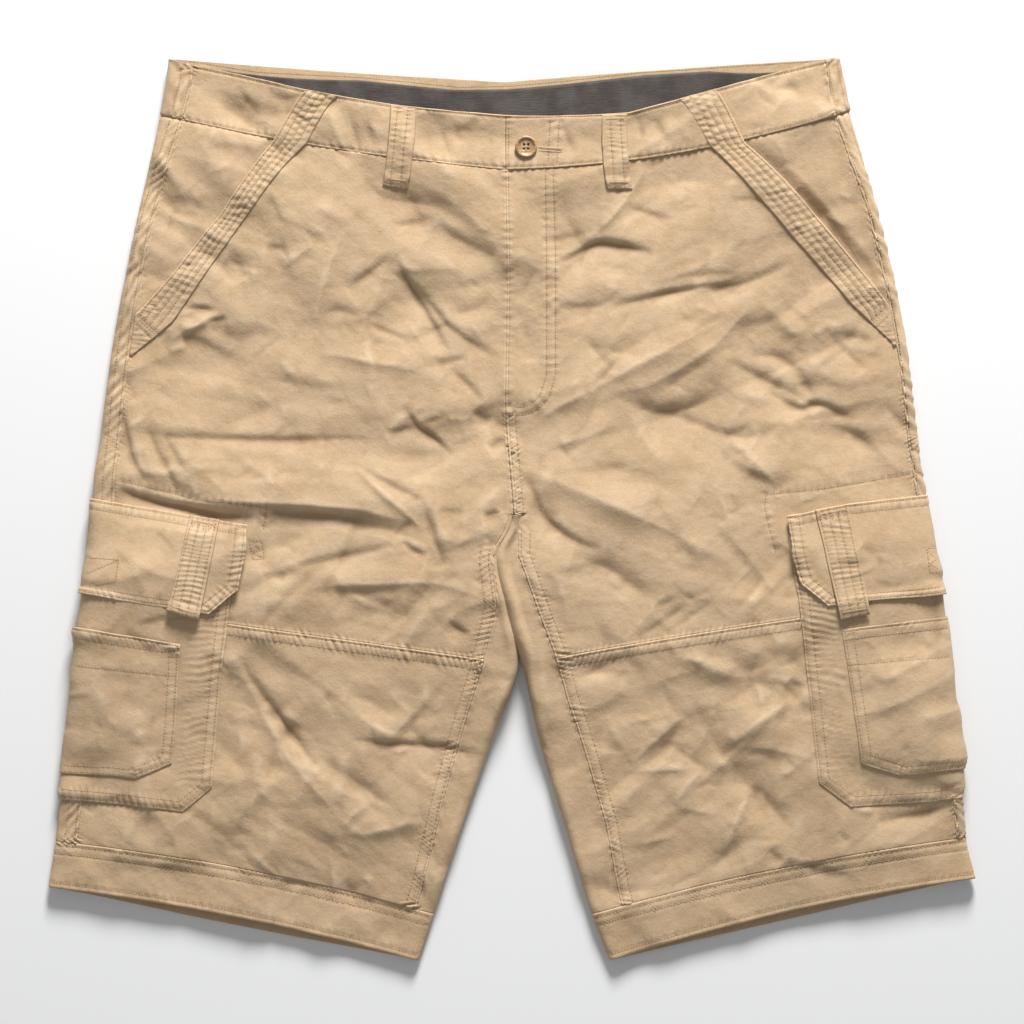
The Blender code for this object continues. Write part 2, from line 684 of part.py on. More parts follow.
def button_holes():
    """The cutter for the holes, round the button's axis."""
    holes = bmesh.new()
    for k in range(BUTTON_HOLES["count"]):
        angle = 2 * math.pi * (k + 0.5) / BUTTON_HOLES["count"]
        radius = BUTTON_HOLES["radius"] * MM
        size = {"radius1": radius, "radius2": radius, "depth": 4 * BUTTON["height"] * MM}
        drilled = bmesh.ops.create_cone(holes, cap_ends=True, segments=8, **size)
        across = BUTTON_HOLES["circle"] * MM
        shift = (across * math.cos(angle), across * math.sin(angle), 0)
        bmesh.ops.translate(holes, verts=drilled["verts"], vec=shift)
    mesh = bpy.data.meshes.new("button_holes")
    holes.to_mesh(mesh)
    holes.free()
    cutter = bpy.data.objects.new("button_holes", mesh)
    cutter.hide_render = True
    cutter.display_type = "WIRE"
    cutters.objects.link(cutter)
    return cutter


def button():
    """A dished button with four holes, turned about its own axis."""
    radius = BUTTON["radius"]
    height = BUTTON["height"]
    edge = BUTTON["edge"]
    inner = radius - BUTTON["rim"]
    outline = (
        (0, BUTTON["floor"]),
        (inner - edge, BUTTON["floor"]),
        (inner, height - edge / 2),
        (inner + BUTTON["rim"] / 2, height),
        (radius - edge / 2, height - edge),
        (radius, height / 2),
        (radius - edge, 0),
        (0, 0),
    )
    profile = bmesh.new()
    corners = [profile.verts.new((x * MM, 0, z * MM)) for x, z in outline]
    for first, last in zip(corners, corners[1:]):
        profile.edges.new((first, last))
    turn = {"cent": (0, 0, 0), "axis": (0, 0, 1), "angle": 2 * math.pi, "steps": BUTTON_STEPS}
    bmesh.ops.spin(profile, geom=profile.verts[:] + profile.edges[:], use_merge=True, **turn)
    bmesh.ops.remove_doubles(profile, verts=profile.verts, dist=1e-6)
    bmesh.ops.recalc_face_normals(profile, faces=profile.faces)
    mesh = bpy.data.meshes.new("button")
    profile.to_mesh(mesh)
    profile.free()
    mesh.materials.append(button_resin)
    piece = bpy.data.objects.new("button", mesh)
    reach, level = locate("right", [(BUTTON["x"], BUTTON["y"])])
    x, y, z = tube_point("right", reach, level)[0]
    piece.location = Vector((x, y, z + GAP)) * MM
    garment.objects.link(piece)
    cut = piece.modifiers.new("holes", "BOOLEAN")
    cut.operation = "DIFFERENCE"
    cut.solver = "EXACT"
    cut.object = button_holes()
    cut.object.location = piece.location


for old in list(bpy.data.objects):
    bpy.data.objects.remove(old, do_unlink=True)
garment = bpy.data.collections.new("cargo shorts")
cutters = bpy.data.collections.new("cutters")
bpy.context.scene.collection.children.link(garment)
bpy.context.scene.collection.children.link(cutters)

twill = material("khaki twill", TWILL, 0.9)
tape = material("dark tape", TAPE, 0.85)
button_resin = material("button resin", BUTTON_COLOUR, 0.45)

for half in SECTIONS:
    fronts(half)
    pocket_facing(half)
    pocket_band(half)
    back(half)
    waistband_front(half)
    cargo_pocket(half)
    hem_band(half)
waistband_back()
inner_tape()
underlap()
belt_loops()
button()
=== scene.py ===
import math
from types import SimpleNamespace

import bmesh
import bpy
import numpy as np
from mathutils import Matrix, Vector


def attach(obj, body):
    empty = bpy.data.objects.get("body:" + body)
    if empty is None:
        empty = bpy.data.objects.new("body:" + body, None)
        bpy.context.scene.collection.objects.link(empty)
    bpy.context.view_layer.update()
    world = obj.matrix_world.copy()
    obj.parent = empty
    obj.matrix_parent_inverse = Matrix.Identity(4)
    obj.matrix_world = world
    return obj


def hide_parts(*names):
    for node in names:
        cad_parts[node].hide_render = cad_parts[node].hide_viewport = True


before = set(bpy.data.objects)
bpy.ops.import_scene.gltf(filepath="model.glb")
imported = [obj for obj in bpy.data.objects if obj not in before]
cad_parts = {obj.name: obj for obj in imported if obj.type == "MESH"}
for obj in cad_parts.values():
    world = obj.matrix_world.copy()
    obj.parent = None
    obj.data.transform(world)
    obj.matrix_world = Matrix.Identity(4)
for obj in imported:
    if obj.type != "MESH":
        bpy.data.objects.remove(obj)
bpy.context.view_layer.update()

mm = 0.001  # sizes below are in millimetres, and finished points are scaled to metres

# Each half of the shorts is a flattened tube. A level counts its sections from the waist down, and
# a reach is the way round a section from its outermost line: over the top where it is positive.
backTop, frontTop, waistSeam = 0, 1, 2
crotch, knee, hemTop, hemEdge = 5, 8, 11, 12

sectionColumns = ("outerX", "outerY", "innerX", "innerY", "sag")
sections = {
    "left": (
        (-268, 353, -5, 335, 1), (-268, 351, -5, 307, 6), (-275, 308, -5, 265, 5), (-292, 232, -4, 179, 4),
        (-311, 136, -5, 86, 2), (-322, 55, 0.6, -4, 0), (-327, 20, -11.4, -39, 0), (-329, -23, -2.4, -81, 0),
        (-334, -73, 5, -120, 0), (-342, -134, -16, -182, -2), (-350, -203, -40, -251, -4),
        (-357, -259, -61, -316, -7), (-363, -295, -73, -353, -6),
    ),
    "right": (
        (255, 353, -5, 335, -1), (256, 352, -5, 307, 9), (264, 311, -5, 265, 10), (286, 232, -4, 179, 7),
        (307, 136, -5, 86, 4), (317, 55, 1.4, -4, 1), (322, 20, -10.6, -39, 0), (328, -23, -1.6, -81, 0),
        (335, -70, 8, -120, -3), (342, -129, 20, -176, -3), (350, -203, 42, -250, -4),
        (355, -256, 62, -316, -6), (363, -288, 76, -353, -7),
    ),
}
tube = {
    "height": 13.5,
    "fold": 6.75,  # how far a side fold reaches into the plan
    "waistRaise": ((0, 2.5, 3.3), (1.5, 1.5, 0)),  # underside lifted by the layers beneath, at these levels
    "pocketRaise": ((4.6, 5.6, 10.7, 12), (0, 3, 3, 0)),
    "pocketRaiseReach": ((100, 150), (1, 0)),
    "innerFold": ((crotch, knee), (2.0, 6.75)),
    "seamFromFold": 1.2,
}
foldArc = tube["fold"] * math.pi / 2

# Seams in plan, from the waist down.
sideSeams = {
    "left": (
        (-250, 350), (-250, 332), (-256, 308), (-269, 265), (-282, 218), (-291, 171),
        (-299, 118), (-305, 64), (-310, 8), (-328, -148), (-336, -227), (-346, -296),
    ),
    "right": (
        (243, 352), (249, 321), (251, 310), (264, 270), (281, 223), (292, 171),
        (300, 126), (314, 81), (321, 30), (337, -148), (345, -228), (356, -289),
    ),
}
inseams = {
    "left": ((-3, -8), (-9, -25), (-16, -41), (-12, -75), (-24, -126), (-53, -225), (-88, -346)),
    "right": ((5, -8), (5, -36), (18, -72), (43, -148), (73, -244), (99, -342)),
}
pocketMouths = {
    "left": ((-161, 327), (-186, 289), (-228, 230), (-265, 184), (-292, 154)),
    "right": ((158, 328), (182, 286), (218, 251), (254, 210), (294, 160)),
}
bandInners = {
    "left": ((-136, 323), (-160, 286), (-187, 257), (-222, 208), (-264, 147), (-297, 120)),
    "right": ((129, 321), (154, 284), (190, 246), (221, 210), (264, 161), (299, 128)),
}
frontTopEdges = {
    "left": ((-256, 349), (-222, 342), (-161, 328), (-96, 317), (-5, 308)),
    "right": ((255, 353), (207, 342), (147, 325), (90, 310), (-5, 308)),
}
tapeTopEdges = {
    "left": ((-255, 349), (-198, 340), (-118, 336), (-43, 328.5), (-5, 329)),
    "right": ((245, 349), (153, 343), (102, 340), (40, 333), (-5, 329)),
}


def smoothAt(column, level):
    # one smooth curve through a column of the table, level where the column turns back
    values = np.asarray(column, float)
    row = np.clip(np.floor(level), 0, len(values) - 2).astype(int)
    part = level - row
    steps = np.diff(values)
    before, after = steps[:-1], steps[1:]
    turnsBack = before * after <= 0
    total = np.where(turnsBack, 1, before + after)
    shared = np.where(turnsBack, 0, 2 * before * after / total)
    slope = np.concatenate([steps[:1], shared, steps[-1:]])
    start, end = values[row], values[row + 1]
    bend = 3 * (end - start) - 2 * slope[row] - slope[row + 1]
    twist = 2 * (start - end) + slope[row] + slope[row + 1]
    return start + part * (slope[row] + part * (bend + part * twist))


def sectionAt(side, level):
    columns = zip(*sections[side])
    sizes = {name: smoothAt(column, level) for name, column in zip(sectionColumns, columns)}
    span = np.hypot(sizes["innerX"] - sizes["outerX"], sizes["innerY"] - sizes["outerY"])
    return SimpleNamespace(**sizes, span=span)


def inPlan(across, share):
    x = across.outerX + share * (across.innerX - across.outerX)
    y = across.outerY + share * (across.innerY - across.outerY)
    return x, y - 4 * across.sag * share * (1 - share)


def innerRadius(level):
    return np.where(level < crotch, 0, np.interp(level, *tube["innerFold"]))


def flatEnd(side, level):
    # reach at which the flat top ends, at the centre line or at the inner fold
    return foldArc + sectionAt(side, level).span - tube["fold"] - innerRadius(level)


def innerTurn(level):
    # way round the inner fold, from the flat top to the flat underside
    radius = innerRadius(level)
    return math.pi * radius + tube["height"] - 2 * radius


def tubePoint(side, reach, level, relief=None):
    fold, height = tube["fold"], tube["height"]
    across = sectionAt(side, level)
    radius, end, turn = innerRadius(level), flatEnd(side, level), innerTurn(level)
    angle = np.clip(reach / fold, -math.pi / 2, math.pi / 2)
    along = fold * (1 - np.cos(angle)) + np.maximum(np.abs(reach) - foldArc, 0)
    drop = fold * (1 - np.sin(angle))
    # on a leg, the inner fold is counted down from the flat top
    down = np.where(reach > 0, reach - end, turn + end + reach)
    onLeg = (level >= crotch) & (np.abs(reach) > end)
    corner = radius * math.pi / 2
    rounded = np.maximum(radius, 1e-6)
    upper = np.clip(down / rounded, 0, math.pi / 2)
    lower = np.clip((turn - down) / rounded, 0, math.pi / 2)
    wall = np.clip(down - corner, 0, turn - 2 * corner)
    bulge = radius * np.minimum(np.sin(upper), np.sin(lower))
    past = np.minimum(down, 0) + np.minimum(turn - down, 0)
    along = np.where(onLeg, across.span - radius + bulge + past, along)
    drop = np.where(onLeg, radius * (1 - np.cos(upper)) + wall + radius * np.cos(lower), drop)
    x, y = inPlan(across, along / across.span)
    share = np.interp(np.abs(reach), *tube["pocketRaiseReach"])
    low = np.interp(level, *tube["waistRaise"]) + np.interp(level, *tube["pocketRaise"]) * share
    high = height + (0 if relief is None else readMap(relief, x, y))
    return np.stack([x, y, low + (high - low) * (1 - drop / height)], axis=-1)


def tubeNormal(side, reach, level, relief=None):
    step, levelStep = 0.4, 0.01
    above = np.where(level >= crotch, np.maximum(level - levelStep, crotch), level - levelStep)
    below = np.where(level < crotch, np.minimum(level + levelStep, crotch - 1e-4), level + levelStep)
    # a place on the inner fold keeps its way from the end of the flat when the level changes
    past = (np.abs(reach) > flatEnd(side, level) - 1e-6) & (level >= crotch)
    shift = np.where(past, np.sign(reach), 0)
    here = flatEnd(side, level)
    reachAbove = reach + shift * (flatEnd(side, above) - here)
    reachBelow = reach + shift * (flatEnd(side, below) - here)
    roundWay = tubePoint(side, reach + step, level, relief) - tubePoint(side, reach - step, level, relief)
    downWay = tubePoint(side, reachBelow, below, relief) - tubePoint(side, reachAbove, above, relief)
    normal = np.cross(downWay, roundWay)
    normal /= np.linalg.norm(normal, axis=-1, keepdims=True)
    return normal if side == "left" else -normal


def locate(side, points):
    # reach and level of points in plan, on the top of the tube
    x, y = np.array(points, float).T
    high, low = np.full(len(x), -0.4), np.full(len(x), hemEdge + 0.4)
    for _ in range(40):
        level = (high + low) / 2
        across = sectionAt(side, level)
        share = (x - across.outerX) / (across.innerX - across.outerX)
        isAbove = inPlan(across, share)[1] > y
        high, low = np.where(isAbove, level, high), np.where(isAbove, low, level)
    along = share * across.span
    inFold = tube["fold"] * np.arccos(np.clip(1 - along / tube["fold"], -1, 1))
    return np.where(along < tube["fold"], inFold, along - tube["fold"] + foldArc), level


def reachAt(side, points, level):
    reaches, levels = locate(side, points)
    return np.interp(level, levels, reaches)


def levelAt(side, points, reach):
    reaches, levels = locate(side, points)
    order = np.argsort(reaches)
    return np.interp(reach, reaches[order], levels[order])


def planOf(side, reach, level):
    return tubePoint(side, *np.broadcast_arrays(reach, level))[..., :2]


def ease(value, start, end):
    # 0 before start, 1 after end, smooth between
    part = np.clip((value - start) / (end - start), 0, 1)
    return part * part * (3 - 2 * part)


def between(first, last, share):
    return first + (last - first) * share


def wayAlong(path):
    # way along a path, at each of its points
    return np.concatenate([[0], np.cumsum(np.hypot(*np.diff(path, axis=0).T))])


# Way down the middle of each half, in millimetres, for each level.
fineLevels = np.linspace(-0.5, hemEdge + 0.5, 700)
wayDown = {side: wayAlong(np.stack(inPlan(sectionAt(side, fineLevels), 0.5), axis=1)) for side in sections}


def downOf(side, level):
    return np.interp(level, fineLevels, wayDown[side])


def levelDown(side, down):
    return np.interp(down, wayDown[side], fineLevels)


def paced(start, end, pitch, fine=()):
    # places from start to end, a pitch apart, and closer together near each fine place
    way = np.linspace(start, end, 3000)
    gap = np.full(way.shape, float(pitch))
    for place, reachOut, finePitch in fine:
        away = ease(np.abs(way - place), reachOut, 2 * reachOut)
        gap = np.minimum(gap, finePitch + (pitch - finePitch) * away)
    count = np.concatenate([[0], np.cumsum(np.abs(np.diff(way)) * 2 / (gap[1:] + gap[:-1]))])
    steps = max(2, round(count[-1]))
    return np.interp(np.linspace(0, count[-1], steps + 1), count, way)


def rowsDown(side, top, bottom, pitch, fine=()):
    # levels from top to bottom, this many millimetres apart
    places = [(downOf(side, level), reachOut, finePitch) for level, reachOut, finePitch in fine]
    return levelDown(side, paced(downOf(side, top), downOf(side, bottom), pitch, places))


print("relief of the cloth")

# The relief of each layer of cloth is a map over the plan, in millimetres outwards from the tube.
plan = {"pitch": 0.8, "halfWidth": 386, "halfLength": 376, "seed": 5}
mapX = np.arange(-plan["halfWidth"], plan["halfWidth"], plan["pitch"])
mapY = np.arange(-plan["halfLength"], plan["halfLength"], plan["pitch"])
maps = {}
chance = np.random.default_rng(plan["seed"])


def mapNamed(name):
    if name not in maps:
        maps[name] = np.zeros((len(mapY), len(mapX)), np.float32)
    return maps[name]


def readMap(grid, x, y):
    column = np.clip((x - mapX[0]) / plan["pitch"], 0, len(mapX) - 1.001)
    row = np.clip((y - mapY[0]) / plan["pitch"], 0, len(mapY) - 1.001)
    i, j = row.astype(int), column.astype(int)
    a, b = row - i, column - j
    upper = grid[i, j] * (1 - b) + grid[i, j + 1] * b
    lower = grid[i + 1, j] * (1 - b) + grid[i + 1, j + 1] * b
    return upper * (1 - a) + lower * a


def splineWeights(places, cell):
    # cubic weights of random values a cell apart, for each place
    way = (places - places[0]) / cell + 1
    first = np.floor(way).astype(int)
    t = way - first
    weights = np.zeros((len(places), first.max() + 3))
    cubic = ((1 - t) ** 3, 3 * t**3 - 6 * t**2 + 4, 3 * (t + t**2 - t**3) + 1, t**3)
    for k, weight in enumerate(cubic):
        weights[np.arange(len(places)), first - 1 + k] = weight / 6
    return weights


def hills(cellX, cellY):
    # smooth random hills, from about -1 to 1, this far apart
    alongX, alongY = splineWeights(mapX, cellX), splineWeights(mapY, cellY)
    return alongY @ chance.uniform(-1.6, 1.6, (alongY.shape[1], alongX.shape[1])) @ alongX.T


def alongPath(path, x, y):
    # distance to the left of a path, way along it, and distance past its ends
    nearest = np.full(x.shape, 1e9)
    left, along, past = np.zeros(x.shape), np.zeros(x.shape), np.zeros(x.shape)
    start = 0.0
    for (x0, y0), (x1, y1) in zip(path, path[1:]):
        runX, runY = x1 - x0, y1 - y0
        length = math.hypot(runX, runY)
        way = ((x - x0) * runX + (y - y0) * runY) / length
        off = (runX * (y - y0) - runY * (x - x0)) / length
        inside = np.clip(way, 0, length)
        away = np.hypot(off, way - inside)
        nearer = away < nearest
        nearest = np.where(nearer, away, nearest)
        left = np.where(nearer, np.where(off < 0, -away, away), left)
        along = np.where(nearer, start + inside, along)
        past = np.where(nearer, np.abs(way - inside), past)
        start += length
    return left, along, past, start


def awayFrom(path, x, y):
    return np.abs(alongPath(path, x, y)[0])


def windowOf(path, margin):
    low, high = np.min(path, axis=0) - margin, np.max(path, axis=0) + margin
    columns = slice(*np.clip(np.searchsorted(mapX, (low[0], high[0])), 0, len(mapX)))
    rows = slice(*np.clip(np.searchsorted(mapY, (low[1], high[1])), 0, len(mapY)))
    x, y = np.meshgrid(mapX[columns], mapY[rows])
    return (rows, columns), x, y


def rounded(path, times=2):
    # the path with its corners cut off
    path = np.asarray(path, float)
    for _ in range(times):
        inner = np.stack([path[:-1] * 0.75 + path[1:] * 0.25, path[:-1] * 0.25 + path[1:] * 0.75], axis=1)
        path = np.concatenate([path[:1], inner.reshape(-1, 2)[1:-1], path[-1:]])
    return path


creaseShape = {"sharpness": 1.3, "taper": 0.8, "reach": 3.2}


def crease(grid, height, left, right, path, sharpness=creaseShape["sharpness"]):
    # a ridge or, where the height is negative, a trough, with its width on each side of the path
    path = rounded(path)
    window, x, y = windowOf(path, creaseShape["reach"] * max(left, right))
    if x.size == 0:
        return
    off, along, _, length = alongPath(path, x, y)
    width = np.where(off > 0, left, right)
    taper = np.sin(math.pi * np.clip(along / length, 0, 1)) ** creaseShape["taper"]
    grid[window] += height * taper * np.exp(-((np.abs(off) / width) ** sharpness))


# The main creases of the front: height, width to the left and to the right of the line, and the line.
frontCreases = {
    "leftHip": (
        (-1.1, 8, 5, ((-125, 269), (-114, 256), (-103, 244), (-86, 241), (-64, 239), (-47, 235))),
        (-0.8, 2.5, 5, ((-95, 226), (-91, 222), (-72, 225), (-62, 229))),
        (-1.2, 7, 4, ((-60, 222), (-47, 214), (-29, 205), (-13, 197))),
        (-1.4, 9, 3, ((-130, 172), (-111, 185), (-94, 198))),
        (-1.7, 7, 2.5, ((-95, 203), (-87, 189), (-79, 174), (-64, 150), (-47, 119))),
        (-1.2, 5, 3, ((-79, 180), (-64, 160), (-47, 140), (-23, 125), (-6, 115))),
        (-0.6, 2, 3, ((-190, 247), (-184, 234), (-179, 221))),
        (0.9, 3, 6, ((-179, 189), (-167, 199), (-154, 207))),
        (-1.0, 3, 7, ((-193, 205), (-184, 204), (-175, 206))),
    ),
    "leftPocket": (
        (-1.2, 5, 5, ((-223, 197), (-213, 191), (-207, 181))),
        (1.6, 3, 6, ((-268, 133), (-247, 143), (-229, 153))),
        (-1.4, 4, 2, ((-256, 157), (-239, 158), (-230, 154))),
        (-1.0, 2, 5, ((-239, 147), (-222, 150))),
        (0.7, 3, 4, ((-268, 123), (-254, 129))),
    ),
    "leftSeat": (
        (-0.8, 4, 4, ((-151, 151), (-139, 156), (-130, 155), (-120, 151))),
        (-1.0, 2.5, 5, ((-114, 146), (-99, 140), (-80, 132))),
        (-0.6, 3, 5, ((-118, 134), (-99, 129), (-80, 124))),
        (0.8, 3, 5, ((-151, 122), (-130, 120), (-112, 115), (-87, 112), (-70, 108))),
        (-0.9, 2.5, 5, ((-60, 115), (-46, 117), (-34, 118))),
        (-1.2, 5, 3, ((-48, 111), (-38, 101), (-30, 94), (-23, 84))),
        (-1.3, 3, 3, ((-30, 77), (-23, 72), (-16, 69))),
        (-1.2, 3, 3, ((-19, 48), (-12, 52), (-5, 56))),
        (-1.8, 2.2, 5, ((-84, 82), (-75, 65), (-62, 58), (-46, 42))),
        (-1.0, 2, 4, ((-98, 59), (-87, 63), (-75, 65))),
        (-0.8, 2, 4, ((-72, 66), (-59, 71), (-48, 73))),
        (-1.7, 3.5, 9, ((-296, 64), (-284, 58), (-244, 56), (-204, 55), (-171, 54), (-134, 56), (-101, 54))),
    ),
    "leftSide": (
        (-1.7, 2.5, 4, ((-304, 80), (-301, 59), (-296, 39), (-289, 26), (-283, 21))),
        (-1.7, 4, 4, ((-285, 66), (-276, 45), (-268, 30), (-258, 8))),
        (-1.1, 5, 3, ((-272, 58), (-264, 45), (-253, 27))),
        (0.7, 2, 2, ((-300, 63), (-285, 73))),
        (0.6, 2, 2, ((-273, 25), (-262, 35))),
    ),
    "leftThigh": (
        (-3.6, 5, 3, ((-307, 16), (-276, 5), (-251, 1), (-226, -5), (-201, -6))),
        (2.6, 5, 7, ((-251, 8), (-193, 5), (-165, 4), (-142, 2), (-119, 1), (-106, -3), (-79, -9))),
        (-1.5, 5, 6, ((-195, -2), (-165, -5), (-134, -6), (-115, -12), (-88, -16), (-76, -9))),
        (-1.0, 4, 2.5, ((-123, 35), (-96, 20), (-76, 11), (-67, 4))),
        (1.4, 7, 3, ((-123, 35), (-101, 12), (-82, -3), (-66, -18))),
        (-1.8, 3.5, 5, ((-69, 6), (-65, -8), (-60, -23), (-52, -45))),
        (-0.8, 2.5, 5, ((-58, -2), (-48, -1), (-37, -2))),
        (-1.2, 2.5, 4, ((-23, -5), (-17, -4), (-10, -1))),
        (-1.7, 6, 4, ((-168, -44), (-150, -41), (-130, -36), (-106, -31), (-84, -27))),
        (-1.4, 2.5, 4, ((-86, -23), (-79, -31), (-66, -36))),
        (-0.8, 3, 4, ((-195, -54), (-179, -51), (-165, -47))),
    ),
    "leftKnee": (
        (1.4, 4, 8, ((-161, -60), (-134, -58), (-103, -58), (-69, -56), (-48, -59), (-25, -67))),
        (-0.9, 5, 6, ((-153, -63), (-119, -65), (-86, -62))),
        (-1.3, 2.5, 4, ((-49, -87), (-41, -94), (-32, -97))),
    ),
    "leftCalf": (
        (-2.2, 9, 4, ((-213, -114), (-199, -139), (-186, -154), (-173, -173), (-160, -190), (-146, -207))),
        (2.0, 9, 7, ((-221, -109), (-199, -148), (-178, -190), (-160, -211), (-139, -233), (-126, -248))),
        (-1.7, 6, 3, ((-128, -179), (-94, -183), (-55, -184), (-44, -187), (-18, -193))),
        (2.4, 10, 7, ((-132, -252), (-109, -252), (-94, -248), (-70, -241))),
        (-1.4, 8, 5, ((-154, -191), (-139, -201), (-119, -214), (-100, -227), (-82, -242))),
        (-1.2, 8, 8, ((-128, -142), (-104, -152), (-92, -164))),
        (-0.8, 4, 4, ((-195, -271), (-177, -289))),
    ),
    "rightHip": (
        (-2.5, 6, 3, ((33, 192), (50, 199), (64, 208), (77, 208), (111, 200))),
        (-1.8, 6, 3, ((75, 158), (100, 164), (122, 169), (151, 174), (179, 176))),
        (1.1, 3, 5, ((59, 210), (75, 225), (88, 240), (105, 268))),
        (-0.9, 3, 4, ((90, 237), (108, 231), (126, 225))),
        (-0.8, 3, 4, ((24, 211), (41, 212), (57, 216))),
        (-0.9, 3, 5, ((32, 158), (69, 158), (84, 170))),
        (-1.0, 4, 4, ((105, 172), (136, 183), (179, 184))),
        (-0.7, 3, 4, ((139, 138), (153, 145), (167, 153))),
    ),
    "rightSeat": (
        (-0.8, 4, 3, ((61, 94), (74, 108), (87, 122))),
        (1.5, 6, 7, ((34, 79), (76, 101), (122, 126), (167, 149))),
        (-1.7, 6, 9, ((76, 90), (94, 83), (112, 75), (133, 78), (152, 85), (164, 99))),
        (1.4, 8, 5, ((76, 91), (104, 96), (122, 106), (152, 123), (173, 144), (191, 168))),
        (-1.2, 5, 5, ((55, 135), (68, 122), (80, 108))),
        (-1.7, 4, 8, ((167, 117), (191, 105), (209, 96), (233, 83), (239, 78))),
        (-1.0, 4, 4, ((215, 111), (231, 96), (239, 80))),
        (-1.2, 9, 7, ((215, 69), (252, 72), (288, 83))),
        (-1.1, 4, 6, ((100, 83), (143, 69), (164, 59), (191, 56), (215, 69))),
        (0.9, 3, 4, ((170, 41), (191, 30), (207, 23))),
        (1.1, 4, 5, ((22, 72), (40, 83), (58, 91))),
        (0.9, 4, 6, ((22, 48), (52, 54), (83, 69))),
    ),
    "rightSide": (
        (-1.3, 5, 4, ((145, 170), (180, 175), (219, 194))),
        (-1.3, 4, 4, ((184, 119), (207, 122), (227, 106), (236, 89))),
        (-0.9, 3, 4, ((250, 138), (282, 132))),
        (-0.9, 3, 4, ((242, 143), (264, 120), (282, 106))),
        (-2.1, 5, 3, ((199, 94), (225, 76), (239, 85), (269, 69))),
        (-0.8, 3, 3, ((165, 56), (187, 66))),
        (1.2, 5, 5, ((168, 58), (187, 39), (208, 19))),
        (-1.0, 4, 4, ((289, 83), (303, 69), (319, 54))),
    ),
    "rightThigh": (
        (-1.9, 3, 5, ((5, 31), (16, 19), (23, -4), (37, -16), (52, -26), (71, -31))),
        (-3.2, 13, 10, ((46, -36), (79, -46), (112, -73))),
        (3.0, 12, 10, ((6, 35), (36, 22), (66, 9), (124, -16), (179, -46))),
        (-0.8, 3, 4, ((109, -76), (134, -67))),
        (-0.7, 3, 4, ((119, -97), (158, -70))),
        (-0.7, 3, 4, ((96, -101), (133, -77))),
    ),
    "rightCalf": (
        (-2.8, 20, 15, ((134, -127), (146, -165), (171, -197), (193, -227), (209, -267))),
        (1.4, 8, 6, ((229, -137), (197, -165), (174, -190), (146, -213), (126, -229))),
        (1.6, 4, 5, ((187, -217), (174, -245), (165, -270))),
        (-1.3, 3, 6, ((215, -133), (229, -140))),
        (-0.9, 4, 4, ((51, -133), (69, -123), (84, -115))),
        (0.9, 3, 4, ((92, -198), (113, -179), (134, -161))),
        (0.9, 3, 4, ((126, -229), (137, -215), (149, -202))),
        (0.8, 3, 4, ((85, -204), (115, -203), (151, -201))),
        (0.7, 3, 4, ((126, -231), (144, -235), (161, -238))),
        (0.7, 3, 4, ((89, -263), (108, -259), (129, -254))),
        (0.9, 3, 4, ((169, -185), (191, -167), (212, -151))),
        (-1.4, 6, 5, ((189, -214), (204, -232), (219, -250))),
        (-1.0, 3, 3, ((201, -265), (211, -275))),
        (-1.7, 4, 4, ((285, -243), (322, -237), (346, -229))),
    ),
    "fly": (
        (-1.0, 5, 5, ((5, 162), (12, 176), (19, 189))),
    ),
}
creaseGain = 1.95
flankGain = {"wide": 2.6, "steep": 1.1}
leanFrom = (0.16, 0.99)  # the folds lean away from this side
leaningBack = 0.2  # share of the loose creases that lean the other way
creaseCentre = (0, 50)  # loose creases run out from the crotch, or across
looseCreases = (  # how many, length, height, width of the wide and of the steep flank, spread, sharpness
    (110, (60, 170), (1.0, 3.0), (18, 40), (7, 14), 0.5, 1.8),
    (300, (26, 90), (0.6, 2.1), (9, 22), (3.5, 7), 0.6, 1.5),
    (700, (8, 34), (0.2, 0.8), (3, 8), (1.2, 2.8), 0.9, 1.3),
)
softRelief = (  # distance between hills across and along, and their height
    (120, 100, 1.7), (56, 44, 0.9), (27, 22, 0.35), (13, 11, 0.18), (7, 6, 0.08),
)
# Soft folds lie side by side, and head the same way in each region: its middle, and the heading.
regions = (
    ((-150, 210), -34), ((140, 220), 28), ((-150, 60), -10), ((150, 80), 24),
    ((-120, -40), 4), ((140, -60), -24), ((-180, -210), -38), ((190, -210), 36),
)
softFolds = (  # distance between folds along and across, height, and reach of a region
    (110, 34, 3.6, 90), (60, 17, 1.9, 90), (32, 9, 0.7, 90),
)


def foldField(lengthwise, across, reach):
    # valleys with a sharp bottom between soft folds, from -1 to 1
    shrink = 0.7
    x, y = np.meshgrid(mapX, mapY)
    total, weights = np.zeros(x.shape), np.zeros(x.shape)
    for (middleX, middleY), heading in regions:
        turn = math.radians(heading)
        u, v = x * math.cos(turn) + y * math.sin(turn), y * math.cos(turn) - x * math.sin(turn)
        field = readMap(hills(lengthwise * shrink, across * shrink), u * shrink, v * shrink)
        weight = np.exp(-((x - middleX) ** 2 + (y - middleY) ** 2) / (2 * reach**2)) + 1e-6
        total += weight * field
        weights += weight
    return 1 - 2 * np.abs(total / weights)


def leftIsUpper(run):
    return run[0] * leanFrom[1] - run[1] * leanFrom[0] > 0


def flanksOf(height, left, right, path):
    # a fold is gentle on its upper flank and steep on the lower one, and a trough is the other way round
    wide, steep = flankGain["wide"] * max(left, right), flankGain["steep"] * min(left, right)
    run = np.subtract(path[-1], path[0])
    return (wide, steep) if leftIsUpper(run) == (height > 0) else (steep, wide)


